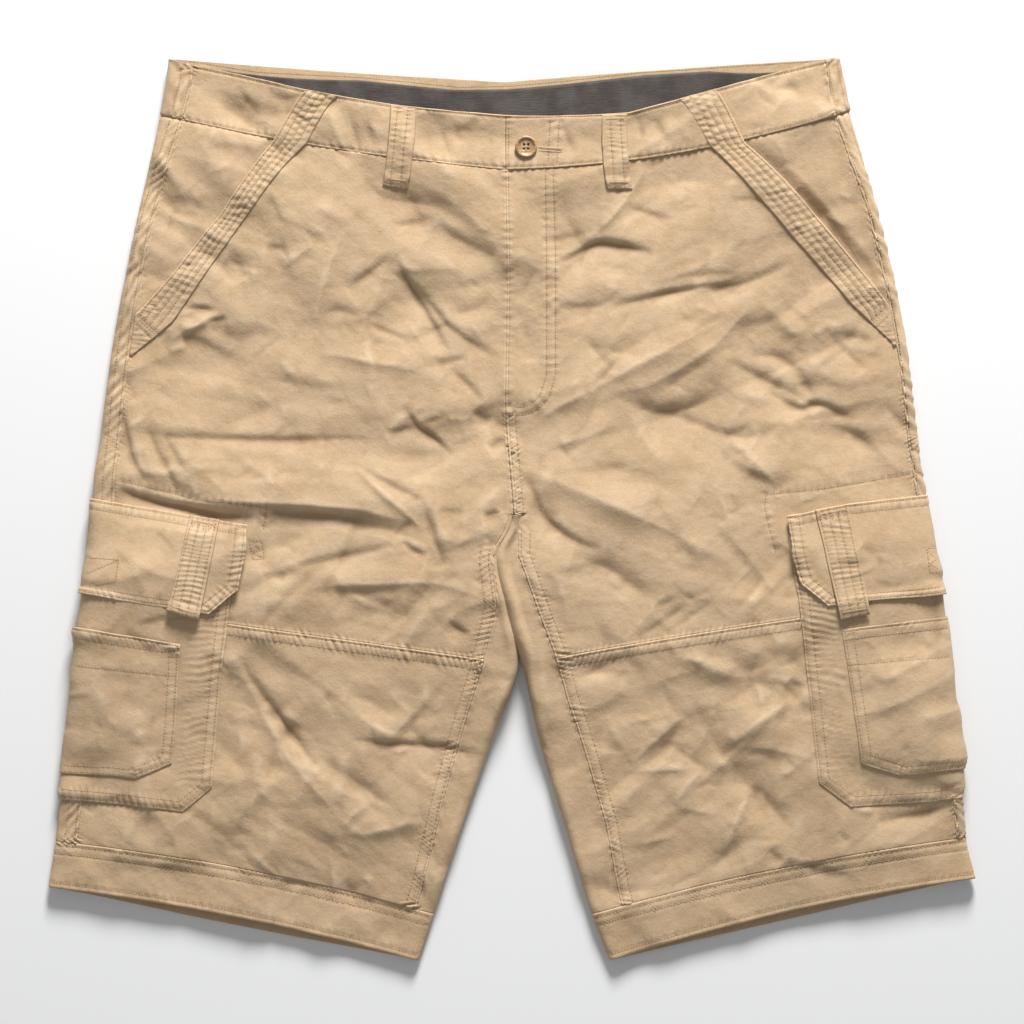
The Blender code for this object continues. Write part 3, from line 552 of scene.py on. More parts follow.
def scatterCreases(grid, share, tiers=looseCreases):
    # random creases, steeper on one flank
    for count, lengths, heights, wide, steep, spreading, sharpness in tiers:
        for _ in range(round(count * share)):
            centre = chance.uniform((-370, -360), (370, 360))
            length = chance.uniform(*lengths)
            radial = math.atan2(centre[1] - creaseCentre[1], centre[0] - creaseCentre[0])
            heading = chance.choice((radial, radial, 0.0)) + chance.normal(0, spreading)
            along = length / 2 * np.array([math.cos(heading), math.sin(heading)])
            bend = chance.normal(0, 0.22) * np.array([-along[1], along[0]])
            height = chance.choice((-1, 1)) * chance.uniform(*heights)
            path = (centre - along, centre + bend, centre + along)
            widths = chance.uniform(*wide), chance.uniform(*steep)
            if (leftIsUpper(along) == (height > 0)) == (chance.random() < leaningBack):
                widths = widths[::-1]
            crease(grid, height, *widths, path, sharpness)


body = mapNamed("body")
calming = {"level": 0.75, "size": 0.45, "hills": (85, 75)}  # some places have fewer soft folds
for cellX, cellY, height in softRelief:
    body += height * hills(cellX, cellY)
for lengthwise, across, height, reach in softFolds:
    calm = calming["level"] + calming["size"] * hills(*calming["hills"])
    body += height * calm * (foldField(lengthwise, across, reach) - foldField(lengthwise, across, reach)) / 2
scatterCreases(body, 1.0)
# the legs below the seat are more rumpled
liveliness = {"top": 0.9, "bottom": 0.95, "start": 40, "end": -150}
onLegs = ease(mapY[:, None], liveliness["start"], liveliness["end"])
body *= between(liveliness["top"], liveliness["bottom"], onLegs)
mainCreases = sum(frontCreases.values(), ())
for height, left, right, path in mainCreases:
    crease(body, creaseGain * height, *flanksOf(height, left, right, path), path)
hemCalm = {"middle": -317, "rise": 0.2, "reach": 25, "share": 0.5}  # the doubled hems are stiffer
belowHem = hemCalm["middle"] + hemCalm["rise"] * np.abs(mapX)[None, :] - mapY[:, None]
body *= 1 - hemCalm["share"] * ease(belowHem, 0, hemCalm["reach"])
legSlope = ((-60, 70, 250, 340), (0, 4.0, -2.2, -6.0))  # the upper side rises, then slopes down to the hems
body += np.interp(-mapY, *legSlope)[:, None]

# The hidden back has similar creases, as troughs only, because it lies on the floor.
backCreases = {"loose": 0.5, "main": -0.8, "hollow": 0.5, "hills": (60, 50)}
under = mapNamed("under")
scatterCreases(under, backCreases["loose"])
for height, left, right, path in mainCreases:
    crease(under, backCreases["main"] * abs(height), left, right, [(-x, y) for x, y in reversed(path)])
under -= backCreases["hollow"] * (1 + hills(*backCreases["hills"]))
np.minimum(under, 0, out=under)


def sideSeam(side, level):
    return np.maximum(reachAt(side, sideSeams[side], level), foldArc + tube["seamFromFold"])


def inseam(side, level):
    # starts from the crotch point
    end = flatEnd(side, level) - tube["seamFromFold"]
    way = np.minimum(reachAt(side, inseams[side], level), end)
    return end + (way - end) * ease(level, crotch, crotch + 0.3)


def centreOrInseam(side, level):
    centre = flatEnd(side, np.minimum(level, crotch - 1e-4))
    return np.where(level < crotch, centre, inseam(side, level))


def mouthBottom(side):
    return locate(side, pocketMouths[side])[1][-1]


def frontOuter(side, level):
    # outer edge of a front: the pocket mouth, then the side seam
    mouth = np.where(level <= mouthBottom(side), reachAt(side, pocketMouths[side], level), 0)
    return np.maximum(mouth, sideSeam(side, level))


def bandInner(side, level):
    leastWidth = 3
    return np.maximum(reachAt(side, bandInners[side], level), frontOuter(side, level) + leastWidth)


def pathDown(side, reachOf, top, bottom, count=40):
    level = np.linspace(top, bottom, count)
    return planOf(side, reachOf(side, level), level)


def pathAcross(side, level, outer, inner, count=24):
    share = np.linspace(0, 1, count)
    return planOf(side, between(outer, inner, share), np.full(count, float(level)))


print("seams and puckers")

# A seam runs down or inwards on each half. Its rows are this far to the left of the path on the left
# half, and mirrored on the right one.
mirror = {"left": 1, "right": -1}
sewing = {
    "strip": 0.5,  # the layers under a seam raise it
    "stripFade": 2.2,
    "groove": 0.5,
    "grooveWidth": 0.8,
    "pucker": 1.5,
    "puckerLevel": 0.64,
    "spacing": 5.0,
    "unevenSpacing": 0.45,
    "fade": 6.0,
    "endFade": 4.0,
}
stitchRows = []


def shifted(path, distance):
    # the path moved to its left, with its corners kept
    path = np.asarray(path, float)
    way = np.diff(path, axis=0)
    way /= np.linalg.norm(way, axis=1, keepdims=True)
    aside = np.stack([-way[:, 1], way[:, 0]], axis=1)
    before, after = np.concatenate([aside[:1], aside]), np.concatenate([aside, aside[-1:]])
    return path + distance * (before + after) / (1 + (before * after).sum(axis=1, keepdims=True))


def wander(along, pitch, size):
    # a smooth random number that changes with the way along
    knots = np.arange(-pitch, along.max() + 2 * pitch, pitch)
    return np.interp(along, knots, chance.uniform(-size, size, len(knots)))


uneven = {"broad": hills(11, 11), "fine": hills(4.5, 4.5)}


def sew(layer, side, path, rows, on, pucker=0.0, spacing=1.0, slant=0.0, strip=0.0, fade=1.0, extent=()):
    # puckers across the rows, or across the extent given, with a groove and stitches along each row;
    # pucker, spacing, strip and fade multiply the seams' usual ones
    rows = [mirror[side] * row for row in rows]
    across = [mirror[side] * end for end in extent] or [0, *rows]
    low, high = min(across), max(across)
    window, x, y = windowOf(path, high - low + 2 * sewing["fade"])
    grid = mapNamed(layer)
    left, along, past, _ = alongPath(path, x, y)
    outside = np.maximum(low - left, left - high)
    ends = ease(past, sewing["endFade"], 0)
    gap, waver = sewing["spacing"] * spacing, sewing["unevenSpacing"]
    phase = (along + slant * mirror[side] * left) / gap + wander(along, 3 * gap, waver)
    phase = phase + waver * uneven["broad"][window]
    folds = np.abs(np.sin(math.pi * phase)) - sewing["puckerLevel"]
    size = sewing["pucker"] * pucker * (0.8 + wander(along, 2.3 * gap, 0.4) + 0.45 * uneven["fine"][window])
    grid[window] += ends * size * folds * ease(outside, sewing["fade"] * fade, -0.5)
    grid[window] += ends * strip * sewing["strip"] * ease(outside, sewing["stripFade"], 0)
    for row in rows:
        groove = np.exp(-(((left - row) / sewing["grooveWidth"]) ** 2))
        grid[window] -= ends * sewing["groove"] * groove
        stitchRows.append((f"{layer}_{side}", shifted(path, row), on))


bandBox = {"left": ((-292, 152), (-274, 136)), "right": ((292, 158), (277, 144))}  # the quilting ends here
cargo = {
    "left": {
        "pocket": {
            "top": ((-328, -6), (-253, -19), (-214, -26)),
            "inner": ((-214, -26), (-220, -75), (-227, -135), (-234, -217), (-257, -236)),
            "bottom": ((-353, -226), (-296, -231), (-257, -236)),
        },
        "flap": {
            "top": ((-328, 9), (-253, -4), (-206, -12)),
            "inner": ((-206, -12), (-208, -34), (-213, -63), (-236, -81)),
            "bottom": ((-336, -65), (-268, -76), (-236, -81)),
        },
        "patch": {
            "top": ((-341, -91), (-310, -96), (-258, -104)),
            "inner": ((-258, -104), (-262, -168), (-265, -198), (-293, -210)),
            "bottom": ((-353, -206), (-310, -208), (-293, -210)),
        },
        "tab": (((-251, -4), (-268, -78)), ((-228, -8), (-244, -85))),
    },
    "right": {
        "pocket": {
            "top": ((326, -3), (262, -10), (215, -19)),
            "inner": ((215, -19), (223, -68), (232, -148), (239, -213), (264, -232)),
            "bottom": ((355, -224), (329, -228), (264, -232)),
        },
        "flap": {
            "top": ((326, 12), (262, 5), (214, -5)),
            "inner": ((214, -5), (219, -36), (225, -58), (246, -75)),
            "bottom": ((336, -66), (278, -71), (246, -75)),
        },
        "patch": {
            "top": ((341, -83), (279, -90), (257, -93)),
            "inner": ((257, -93), (265, -148), (272, -197), (303, -207)),
            "bottom": ((354, -202), (329, -204), (303, -207)),
        },
        "tab": (((262, 5), (279, -81)), ((236, 0), (255, -85))),
    },
}
# A belt loop is on the front or on the back, and lies between two long edges.
loops = {
    "front_left": ("left", 1, (((-95, 316), (-101, 253)), ((-75, 313), (-81, 250)))),
    "front_right": ("right", 1, (((90, 309), (94, 250)), ((70, 308), (74, 250)))),
    "back_left": ("left", -1, (((-246, 350), (-250, 284)), ((-226, 349), (-230, 281)))),
    "back_centre": ("left", -1, (((-16, 335), (-16, 247)), ((4, 335), (4, 247)))),
    "back_right": ("right", -1, (((226, 350), (230, 282)), ((206, 349), (210, 280)))),
}
frontLoops = {name: (side, np.array(edges, float)) for name, (side, over, edges) in loops.items() if over > 0}
flyStitch = {
    "outer": ((32, 264), (34, 203), (34, 106), (29, 88), (20, 78), (9, 74), (-3, 74)),
    "inner": ((26, 264), (27, 203), (27, 106), (22, 89), (14, 82), (6, 80), (-2, 81)),
}
waistRows = (((-2.6, 306), (-3.2, 268)), ((30, 306), (28, 270)), ((37, 306), (35, 270)))
patchHem = {"left": ((-343, -121), (-261, -130)), "right": ((343, -114), (261, -121))}
scribbles = (  # small stitched figures: layer, side, piece and line
    ("flap", "left", "cargo_flap", ((-334, -51), (-306, -39), (-308, -56), (-332, -60))),
    ("flap", "left", "cargo_flap", ((-332, -37), (-306, -39))),
    ("flap", "left", "cargo_flap", ((-222, -62), (-228, -73))),
    ("flap", "right", "cargo_flap", ((333, -30), (323, -30), (325, -49), (334, -49))),
    ("flap", "right", "cargo_flap", ((324, -33), (331, -38), (325, -42), (332, -46))),
    ("panel", "left", "front_upper", ((-205, -24), (-195, -25), (-193, -38), (-202, -39), (-205, -24))),
    ("panel", "left", "front_upper", ((-203, -27), (-196, -31), (-202, -34), (-195, -37))),
)
facingStitch = {  # where the pocket bag is caught above the flap
    "left": ((-307, 23), (-264, 13), (-246, 8), (-191, 2), (-194, -16)),
    "right": ((321, 30), (270, 21), (239, 16), (198, 12), (197, 3), (200, -12), (206, -34)),
}


def outlineOf(edges):
    # the sewn or free edge of a pocket, down its inner side and out along its bottom
    return np.array(edges["inner"] + edges["bottom"][-2::-1], float)


def topstitch(layer, side, piece, paths, pucker=0.0, spacing=1.0, slant=0.0, fade=1.0):
    for path in paths:
        sew(layer, side, path, (0,), (f"{piece}_{side}",), pucker, spacing, slant, fade=fade)


quilting = {"lines": (0.08, 0.3, 0.52, 0.74, 0.96), "ends": (0, 2.2, 6.0)}
tabLines = (0.1, 0.36, 0.63, 0.9)
zigzag = {"points": 10, "top": 2, "bottom": 9.5}
inseamTops = {"left": crotch + 0.75, "right": crotch + 0.3}


def sewPanels(side):
    panels = (f"front_upper_{side}", f"front_lower_{side}", f"back_{side}")
    path = pathDown(side, sideSeam, waistSeam, hemTop, 70)
    sew("panel", side, path, (-2.2, -9.5), panels, 1.3, 0.65, -0.5, strip=1)
    path = pathDown(side, inseam, inseamTops[side], hemTop, 60)
    sew("panel", side, path, (-2.2, -9.0), panels, 1.15, 0.8, 0.5, strip=1)
    path = pathAcross(side, knee, sideSeam(side, knee), inseam(side, knee) - 0.5)
    sew("panel", side, path, (-2.2, -8.4), panels, 1.0, 0.9, 0.5, strip=1)


def sewBand(side):
    # the quilting runs down to a slanting end
    rows = np.linspace(frontTop + 0.02, mouthBottom(side), 50)
    outer, inner = frontOuter(side, rows), bandInner(side, rows)
    endOuter, endInner = np.array(bandBox[side], float)
    lines = quilting["lines"]
    for share, nextShare in zip(lines, lines[1:]):
        end = between(endOuter, endInner, share)
        path = planOf(side, between(outer, inner, share), rows)
        path = np.concatenate([path[path[:, 1] > end[1] + 3], [end]])
        topstitch("band", side, "pocket_band", [path])
        middle = planOf(side, outer + (inner - outer) * (share + nextShare) / 2, rows)
        middle = middle[middle[:, 1] > end[1]]
        sew("band", side, middle, (), (), 0.5, 1.15, 0.35, fade=0.4, extent=(-1.5, 1.5))
    across = (endInner - endOuter) / np.linalg.norm(endInner - endOuter)
    along = np.array([across[1], -across[0]]) * mirror[side]
    ends = [np.array([endOuter + across, endInner - across]) + along * down for down in quilting["ends"]]
    topstitch("band", side, "pocket_band", ends, 0.15, fade=0.3)
    tail = np.array([(endOuter + endInner) / 2 + along * 9, bandInners[side][-1]], float)
    sew("band", side, tail, (), (), 0.7, 0.7, 0.4, extent=(-5, 5))


def sewWaist(side):
    front = (f"waistband_front_{side}",)
    path = pathAcross(side, waistSeam, foldArc, flatEnd(side, waistSeam) - 1)
    sew("waist", side, path, (2.2,), front, 0.7, 1.2, 0.3)
    sew("waist", side, np.array(frontTopEdges[side], float), (-2.4,), front, 0.4, 1.3, 0.3)
    path = pathDown(side, sideSeam, frontTop + 0.02, waistSeam, 12)
    sew("waist", side, path, (-2.2, -9.5), (*front, "waistband_back"), 1.3, 0.65, -0.5, strip=1)
    stitchRows.append(("tape_" + side, shifted(tapeTopEdges[side], mirror[side] * 2.4), ("waistband_back",)))


def sewHem(side):
    for down, rows, pucker, spacing, slant in (
        (downOf(side, hemTop) + 3, (0, -6.4), 0.8, 0.8, 0.9),
        (downOf(side, hemEdge) - 4.2, (0,), 0.55, 1.2, 0.4),
    ):
        level = levelDown(side, down)
        path = pathAcross(side, level, foldArc * 0.2, flatEnd(side, level) + 4, 40)
        sew("hem", side, path, rows, (f"hem_{side}",), pucker, spacing, slant)


def sewCargo(side):
    edges = cargo[side]
    pocket, patch, flap = edges["pocket"], edges["patch"], edges["flap"]
    on = (f"cargo_pocket_{side}",)
    sew("pocket", side, outlineOf(pocket), (-2.2, -8.2), on, 0.55, 1.0, 0.3, strip=1)
    sew("pocket", side, pocket["inner"][1:-1], (), (), 0.55, 1.0, 0.25, extent=(-9, -26))
    on = (f"patch_pocket_{side}",)
    sew("patch", side, patch["inner"], (-2.0, -8.2), on, 0.8, strip=0.5)
    sew("patch", side, patch["bottom"], (2.0, 6.8), on, 0.4, 0.9, 0.4, strip=0.5)
    sew("patch", side, patch["top"], (-2.0, -8.6), on, 0.4, 0.9, 0.7, strip=0.4)
    sew("patch", side, patchHem[side], (0,), on, 0.35, 1.3, 0.5)
    on = (f"cargo_flap_{side}",)
    sew("flap", side, flap["top"], (-2.2, -8.0), on, 0.5, strip=0.6)
    sew("flap", side, flap["inner"], (-2.0, -8.6), on, 0.6, 0.95, 0.2, strip=0.4)
    sew("flap", side, flap["bottom"], (2.0, 5.8), on, 0.32, 1.0, 0.5, strip=0.4)
    # the tab: lines down it, puckers, a zigzag across its top and a row near its end
    outer, inner = np.array(edges["tab"], float)
    topstitch("tab", side, "flap_tab", [between(outer, inner, share) for share in tabLines])
    middle = (outer + inner) / 2
    middle = np.array([middle[0] * 0.85 + middle[1] * 0.15, middle[0] * 0.14 + middle[1] * 0.86])
    sew("tab", side, middle, (), (), 0.8, 0.72, 0.15, fade=0.3, extent=(-10, 10))
    heading = (outer[1] - outer[0]) / np.linalg.norm(outer[1] - outer[0])
    across = np.linspace(0.08, 0.92, zigzag["points"])[:, None]
    down = np.where(np.arange(zigzag["points"]) % 2, zigzag["bottom"], zigzag["top"])[:, None]
    rows = between(outer[0], inner[0], across) + heading * down, np.array([outer[1], inner[1]]) - heading * 10
    topstitch("tab", side, "flap_tab", rows, 0.15, fade=0.2)
    panels = (f"front_upper_{side}", f"front_lower_{side}", f"back_{side}")
    sew("panel", side, facingStitch[side], (0,), panels, 0.7, 1.2)


for side in sections:
    sewPanels(side)
    sewBand(side)
    sewWaist(side)
    sewHem(side)
    sewCargo(side)
path = pathDown("right", centreOrInseam, waistSeam, crotch - 0.01, 40)
sew("panel", "right", path, (-2.3,), ("front_upper_right",), 0.5, 1.3, strip=1)
topstitch("panel", "right", "front_upper", flyStitch.values(), 0.45, 1.3)
topstitch("waist", "right", "waistband_front", waistRows, 0.4, 1.3)
crotchLevel = locate("right", [(5, 76)])[1][0]
path = pathDown("right", centreOrInseam, crotchLevel, crotch - 0.02, 20)
sew("panel", "right", path, (-7.4,), ("front_upper_right",), 1.2, 0.62, -0.45, 0.6, 0.5)
sew("panel", "right", path, (), (), 1.6, 0.6, -0.45, extent=(-6.4, -1))
for layer, side, piece, line in scribbles:
    topstitch(layer, side, piece, [line])
for name, (side, (outer, inner)) in frontLoops.items():
    for share in (0.3, 0.7):
        sew("loop", side, between(outer, inner, share), (0,), (f"belt_loop_{name}",), 0.5, 0.8)


def blurred(grid, size):
    # three passes of a running mean, in cells
    for _ in range(3):
        for axis in (0, 1):
            edge = [(0, 0), (0, 0)]
            edge[axis] = (size + 1, size)
            sums = np.cumsum(np.pad(grid, edge, mode="edge"), axis=axis)
            count = grid.shape[axis]
            ahead = np.take(sums, np.arange(2 * size + 1, 2 * size + 1 + count), axis=axis)
            behind = np.take(sums, np.arange(count), axis=axis)
            grid = (ahead - behind) / (2 * size + 1)
    return grid


def within(corners, x, y):
    # whether places lie inside a closed outline
    found = np.zeros(x.shape, bool)
    for (x0, y0), (x1, y1) in zip(corners, np.roll(corners, -1, axis=0)):
        if y0 != y1:
            found ^= ((y0 > y) != (y1 > y)) & (x < x0 + (x1 - x0) * (y - y0) / (y1 - y0))
    return found


def flatten(outline):
    # the panels below a pocket or a flap lie flat
    window, x, y = windowOf(outline, 4)
    away = awayFrom(outline, x, y)
    inside = within(outline, x, y)
    mapNamed("panel")[window] *= 1 - inside * ease(away, 1, 5)
    body[window] += (blurred(body, 5)[window] - body[window]) * inside * ease(away, 0, 10)


for side in sections:
    for name, height in (("pocket", 1.6), ("patch", 0.9), ("flap", 0.7)):
        edges = cargo[side][name]
        outline = np.concatenate([np.array(edges["top"][:-1], float), outlineOf(edges)])
        # the cloth swells softly inside its edges
        window, x, y = windowOf(outline, 4)
        away = awayFrom(np.concatenate([outline, outline[:1]]), x, y)
        mapNamed(name)[window] += height * ease(away, 2, 30)
        if name != "patch":
            flatten(outline)
for name, height, cell, creasing in (
    ("pocket", 1.0, 30, 0.9),
    ("flap", 0.6, 26, 0.5),
    ("patch", 0.6, 24, 0.7),
    ("tab", 0.35, 14, 0),
    ("band", 0.3, 12, 0),
    ("waist", 0.4, 18, 0.4),
    ("hem", 0.4, 20, 0.25),
):
    mapNamed(name)[:] += height * hills(cell, cell)
    scatterCreases(mapNamed(name), creasing, looseCreases[1:])
# Creases of their own: layer, height, width to the left and to the right of the line, and the line.
layerCreases = (
    ("flap", -1.5, 5, 3, ((-282, -11), (-264, -28), (-259, -36))),
    ("flap", -1.2, 5, 3, ((-313, -26), (-303, -35), (-293, -48))),
    ("flap", -1.8, 4, 6, ((272, -28), (285, -38), (302, -45))),
    ("flap", -1.2, 3, 5, ((276, -52), (290, -57), (306, -58))),
    ("waist", -1.6, 4, 3, ((-130, 316), (-124, 300), (-117, 276))),
    ("waist", -1.3, 3, 4, ((-116, 314), (-112, 298), (-106, 280))),
    ("waist", 1.2, 4, 5, ((-143, 312), (-136, 292), (-130, 280))),
    ("waist", -1.2, 4, 3, ((-214, 330), (-206, 318), (-196, 306))),
    ("waist", -1.4, 3, 4, ((112, 306), (118, 294), (122, 284))),
    ("waist", -1.2, 5, 3, ((188, 330), (196, 322), (206, 314))),
    ("waist", -1.0, 3, 4, ((214, 336), (222, 326), (232, 320))),
    ("waist", -1.2, 4, 3, ((36, 302), (44, 290), (50, 276))),
    ("waist", -1.1, 3, 4, ((-60, 304), (-52, 290), (-46, 272))),
)
for layer, height, left, right, path in layerCreases:
    crease(mapNamed(layer), 1.3 * height, *flanksOf(height, left, right, path), path)

# Free edges lift off the cloth below: the flaps' lower edges, the tops of the patches and the tabs' ends.
lifting = {"flap": (2.4, 17), "patch": (1.1, 14), "tab": (2.2, 34), "waves": (22, 0.45)}  # height and reach
gaping = {"left": 1.0, "right": 3.2, "reach": 34}  # the slash pockets' mouths
for side in sections:
    for layer, path in (
        ("flap", outlineOf(cargo[side]["flap"])),
        ("patch", np.array(cargo[side]["patch"]["top"], float)),
    ):
        height, reach = lifting[layer]
        window, x, y = windowOf(path, 2 * reach)
        off, along, _, _ = alongPath(path, x, y)
        waves = 1 + wander(along, *lifting["waves"])
        mapNamed(layer)[window] += height * waves * ease(np.abs(off), reach, 0)
    height, reach = lifting["tab"]
    tabEnd = np.array(cargo[side]["tab"], float)[:, 1]
    window, x, y = windowOf(tabEnd, 40)
    mapNamed("tab")[window] += height * ease(awayFrom(tabEnd, x, y), reach, 0)
    path = np.array(pocketMouths[side], float)
    window, x, y = windowOf(path, 40)
    off, along, _, length = alongPath(path, x, y)
    middle = np.sin(math.pi * np.clip(along / length, 0, 1)) ** 1.5
    mapNamed("mouth")[window] += gaping[side] * middle * ease(np.abs(off), gaping["reach"], 0)


print("finishes")


class Value:
    # a shader socket that sums can be written with

    def __init__(self, finish, socket):
        self.finish, self.socket = finish, socket

    def combine(self, operation, first, second):
        return self.finish.node("ShaderNodeMath", {"operation": operation}, {0: first, 1: second})

    def __add__(self, other):
        return self.combine("ADD", self, other)

    __radd__ = __add__

    def __sub__(self, other):
        return self.combine("SUBTRACT", self, other)

    def __rsub__(self, other):
        return self.combine("SUBTRACT", other, self)

    def __mul__(self, other):
        return self.combine("MULTIPLY", self, other)

    __rmul__ = __mul__

    def ramp(self, low, high):
        # 0 below low and 1 above high
        ends = {"Value": self, "From Min": low, "From Max": high}
        return self.finish.node("ShaderNodeMapRange", {"interpolation_type": "SMOOTHSTEP"}, ends)


class Finish:
    def __init__(self, name, **surface):
        self.material = bpy.data.materials.new(name)
        self.material.use_nodes = True
        self.tree = self.material.node_tree
        self.surface = self.tree.nodes["Principled BSDF"]
        self.set(**surface)

    def feed(self, socket, value):
        if isinstance(value, Value):
            self.tree.links.new(value.socket, socket)
        else:
            socket.default_value = value

    def set(self, **surface):
        for name, value in surface.items():
            self.feed(self.surface.inputs[name.replace("_", " ")], value)

    def node(self, kind, settings=None, inputs=None, output=0):
        made = self.tree.nodes.new(kind)
        for name, value in (settings or {}).items():
            setattr(made, name, value)
        for name, value in (inputs or {}).items():
            self.feed(made.inputs[name], value)
        return Value(self, made.outputs[output])

    def noise(self, place, size, detail=2.0, roughness=0.5):
        inputs = {"Vector": place, "Scale": 1 / size, "Detail": detail, "Roughness": roughness}
        return self.node("ShaderNodeTexNoise", None, inputs, "Fac")

    def stretched(self, place, scale):
        return self.node("ShaderNodeMapping", None, {"Vector": place, "Scale": scale})

    def mix(self, share, first, second):
        return self.node("ShaderNodeMix", {"data_type": "RGBA"}, {0: share, 6: first, 7: second}, 2)

    def bump(self, height, depth, strength=1.0):
        # height from 0 to 1 stands for this depth in metres
        inputs = {"Strength": strength, "Distance": depth, "Height": height}
        self.set(Normal=self.node("ShaderNodeBump", None, inputs, "Normal"))


twillLook = {
    "base": (0.52, 0.372, 0.228, 1),
    # the lighter colour of ridges: partly worn by rubbing, partly painted highlight
    "paleWornAndLit": (0.655, 0.505, 0.34, 1),
    "warm": (0.465, 0.315, 0.178, 1),
    # painted shade for the troughs between folds
    "troughShade": (0.33, 0.215, 0.12, 1),
    "clouds": 0.055,  # sizes in metres from here on
    "patches": 0.012,
    "specks": 0.0017,
    "slubs": 0.008,
    "threads": 0.006,
    "nap": 0.0010,
    "crumple": 0.0055,
    "depth": 0.0008,
}


def twillOf(name, look):
    finish = Finish(name, Roughness=0.92, Sheen_Weight=0.12, Sheen_Roughness=0.6, Specular_IOR_Level=0.2)
    place = finish.node("ShaderNodeTexCoord", output="Object")
    weave = finish.node("ShaderNodeUVMap", {"uv_map": "weave"})
    wearAndShading = finish.node("ShaderNodeAttribute", {"attribute_name": "wearAndShading"}, output="Fac")
    # tones: broad and small clouds of dye and slubs along the warp; ridges lighter, partly worn by rubbing
    # and partly painted highlight; painted shade in the troughs
    clouds = finish.noise(place, look["clouds"], 3, 0.55)
    patches = finish.noise(place, look["patches"], 3, 0.6)
    specks = finish.noise(place, look["specks"], 2, 0.6)
    slubs = finish.noise(finish.stretched(weave, (1.0, 0.12, 1.0)), look["slubs"], 2, 0.6)
    tone = 0.34 * clouds + 0.42 * patches + 0.34 * specks + 0.16 * slubs - 0.09
    colour = finish.mix(tone.ramp(0.36, 0.66), look["warm"], look["base"])
    # ridges get lighter: partly worn by rubbing, partly painted highlight
    wornAndLit = (wearAndShading + 0.5 * (patches - 0.5)).ramp(0.02, 0.55)
    colour = finish.mix(wornAndLit * 0.4, colour, look["paleWornAndLit"])
    # troughs get painted shade, and random patches of dye take a little of the darker colour too
    shade = (0.5 * (0.5 - patches) - wearAndShading).ramp(0.05, 0.75)
    colour = finish.mix(shade * 0.66, colour, look["troughShade"])
    finish.set(Base_Color=colour)
    # relief: slanting threads, nap and a little crumple
    turn = {"Vector": weave, "Angle": -1.1}
    slanting = finish.node("ShaderNodeVectorRotate", {"rotation_type": "Z_AXIS"}, turn)
    threads = finish.noise(finish.stretched(slanting, (0.16, 1.0, 1.0)), look["threads"], 1)
    nap = finish.noise(place, look["nap"], 3, 0.6)
    crumple = finish.noise(place, look["crumple"], 2, 0.55)
    finish.bump(0.2 * threads + 0.32 * nap + 0.62 * crumple, look["depth"], 0.8)
    return finish.material


twillFinish = twillOf("khaki twill", twillLook)
threadFinish = Finish("khaki thread", Base_Color=(0.47, 0.325, 0.185, 1), Roughness=0.8).material
# dark discs at the stitch ends are painted shadow inside each needle hole
holeShadowFinish = Finish("needle hole shadow", Base_Color=(0.12, 0.07, 0.035, 1), Roughness=1.0).material


def tapeOf():
    finish = Finish("dark tape", Roughness=0.85, Sheen_Weight=0.1)
    place = finish.node("ShaderNodeTexCoord", output="Object")
    weave = finish.node("ShaderNodeUVMap", {"uv_map": "weave"})
    patches = finish.noise(place, 0.02, 3, 0.6).ramp(0.3, 0.7)
    finish.set(Base_Color=finish.mix(patches, (0.042, 0.034, 0.030, 1), (0.080, 0.066, 0.058, 1)))
    ribs = finish.noise(finish.stretched(weave, (0.1, 1.0, 1.0)), 0.01, 1)
    finish.bump(0.5 * ribs + 0.5 * finish.noise(place, 0.0012, 2, 0.6), 0.0004)
    return finish.material


def resinOf():
    finish = Finish("tan resin", Roughness=0.38, Specular_IOR_Level=0.5)
    place = finish.node("ShaderNodeTexCoord", output="Object")
    cloud = finish.noise(finish.stretched(place, (1.0, 3.0, 1.0)), 0.006, 4, 0.6).ramp(0.35, 0.7)
    finish.set(Base_Color=finish.mix(cloud, (0.30, 0.175, 0.08, 1), (0.50, 0.34, 0.18, 1)))
    finish.bump(finish.noise(place, 0.0008), 0.00004)
    return finish.material


tapeFinish = tapeOf()
resinFinish = resinOf()


print("pieces of cloth")

scene = bpy.context.scene

edgeShape = {
    "lift": 0.55,  # an edge that lies over its neighbour rises to it
    "liftReach": 5.0,
    "roll": 0.9,
    "dip": 0.3,  # the neighbour dips before it goes under
    "dipReach": 3.0,
    "depth": 1.6,
    "tuck": 4.0,
}
tuck = edgeShape["tuck"]


def overEdge(inside):
    lift = edgeShape["lift"] * np.exp(-np.maximum(inside, 0) / edgeShape["liftReach"])
    return lift + rolledEdge(inside, edgeShape["roll"])


def rolledEdge(inside, radius):
    turn = 1 - np.clip(inside / radius, 0, 1)
    return -radius * (1 - np.sqrt(1 - turn**2))


def underEdge(inside):
    dip = edgeShape["dip"] * np.exp(-np.maximum(inside, 0) / edgeShape["dipReach"])
    return -dip - edgeShape["depth"] * ease(-inside, -0.3, 1.2)


def spread(anchors, pitches):
    # columns from each anchor to the next, at most a pitch apart
    anchors = [np.asarray(anchor, float) for anchor in np.broadcast_arrays(*anchors)]
    columns = [anchors[0]]
    for first, last, pitch in zip(anchors, anchors[1:], pitches):
        count = max(1, math.ceil(np.abs(last - first).max() / pitch))
        columns += [first + (last - first) * k / count for k in range(1, count + 1)]
    return np.stack(columns, axis=-1)


def fineEnds(start, end, width=3.0):
    # anchors for columns that are closer together at both ends
    width = np.minimum(width, 0.3 * (end - start))
    return [start, start + width, end - width, end]


wearAndShadingMaps = {}


def wearAndShadingOf(layers):
    # how far the cloth stands above its surroundings: lighter ridges, partly worn by rubbing and partly
    # painted highlight, and painted shade in the troughs
    if layers not in wearAndShadingMaps:
        total = sum(mapNamed(name) for name in layers) + body
        wearAndShadingMaps[layers] = total - blurred(total, 4)
    return wearAndShadingMaps[layers]


def softMax(first, second, blend=0.5):
    return (first + second + np.sqrt((first - second) ** 2 + blend**2)) / 2


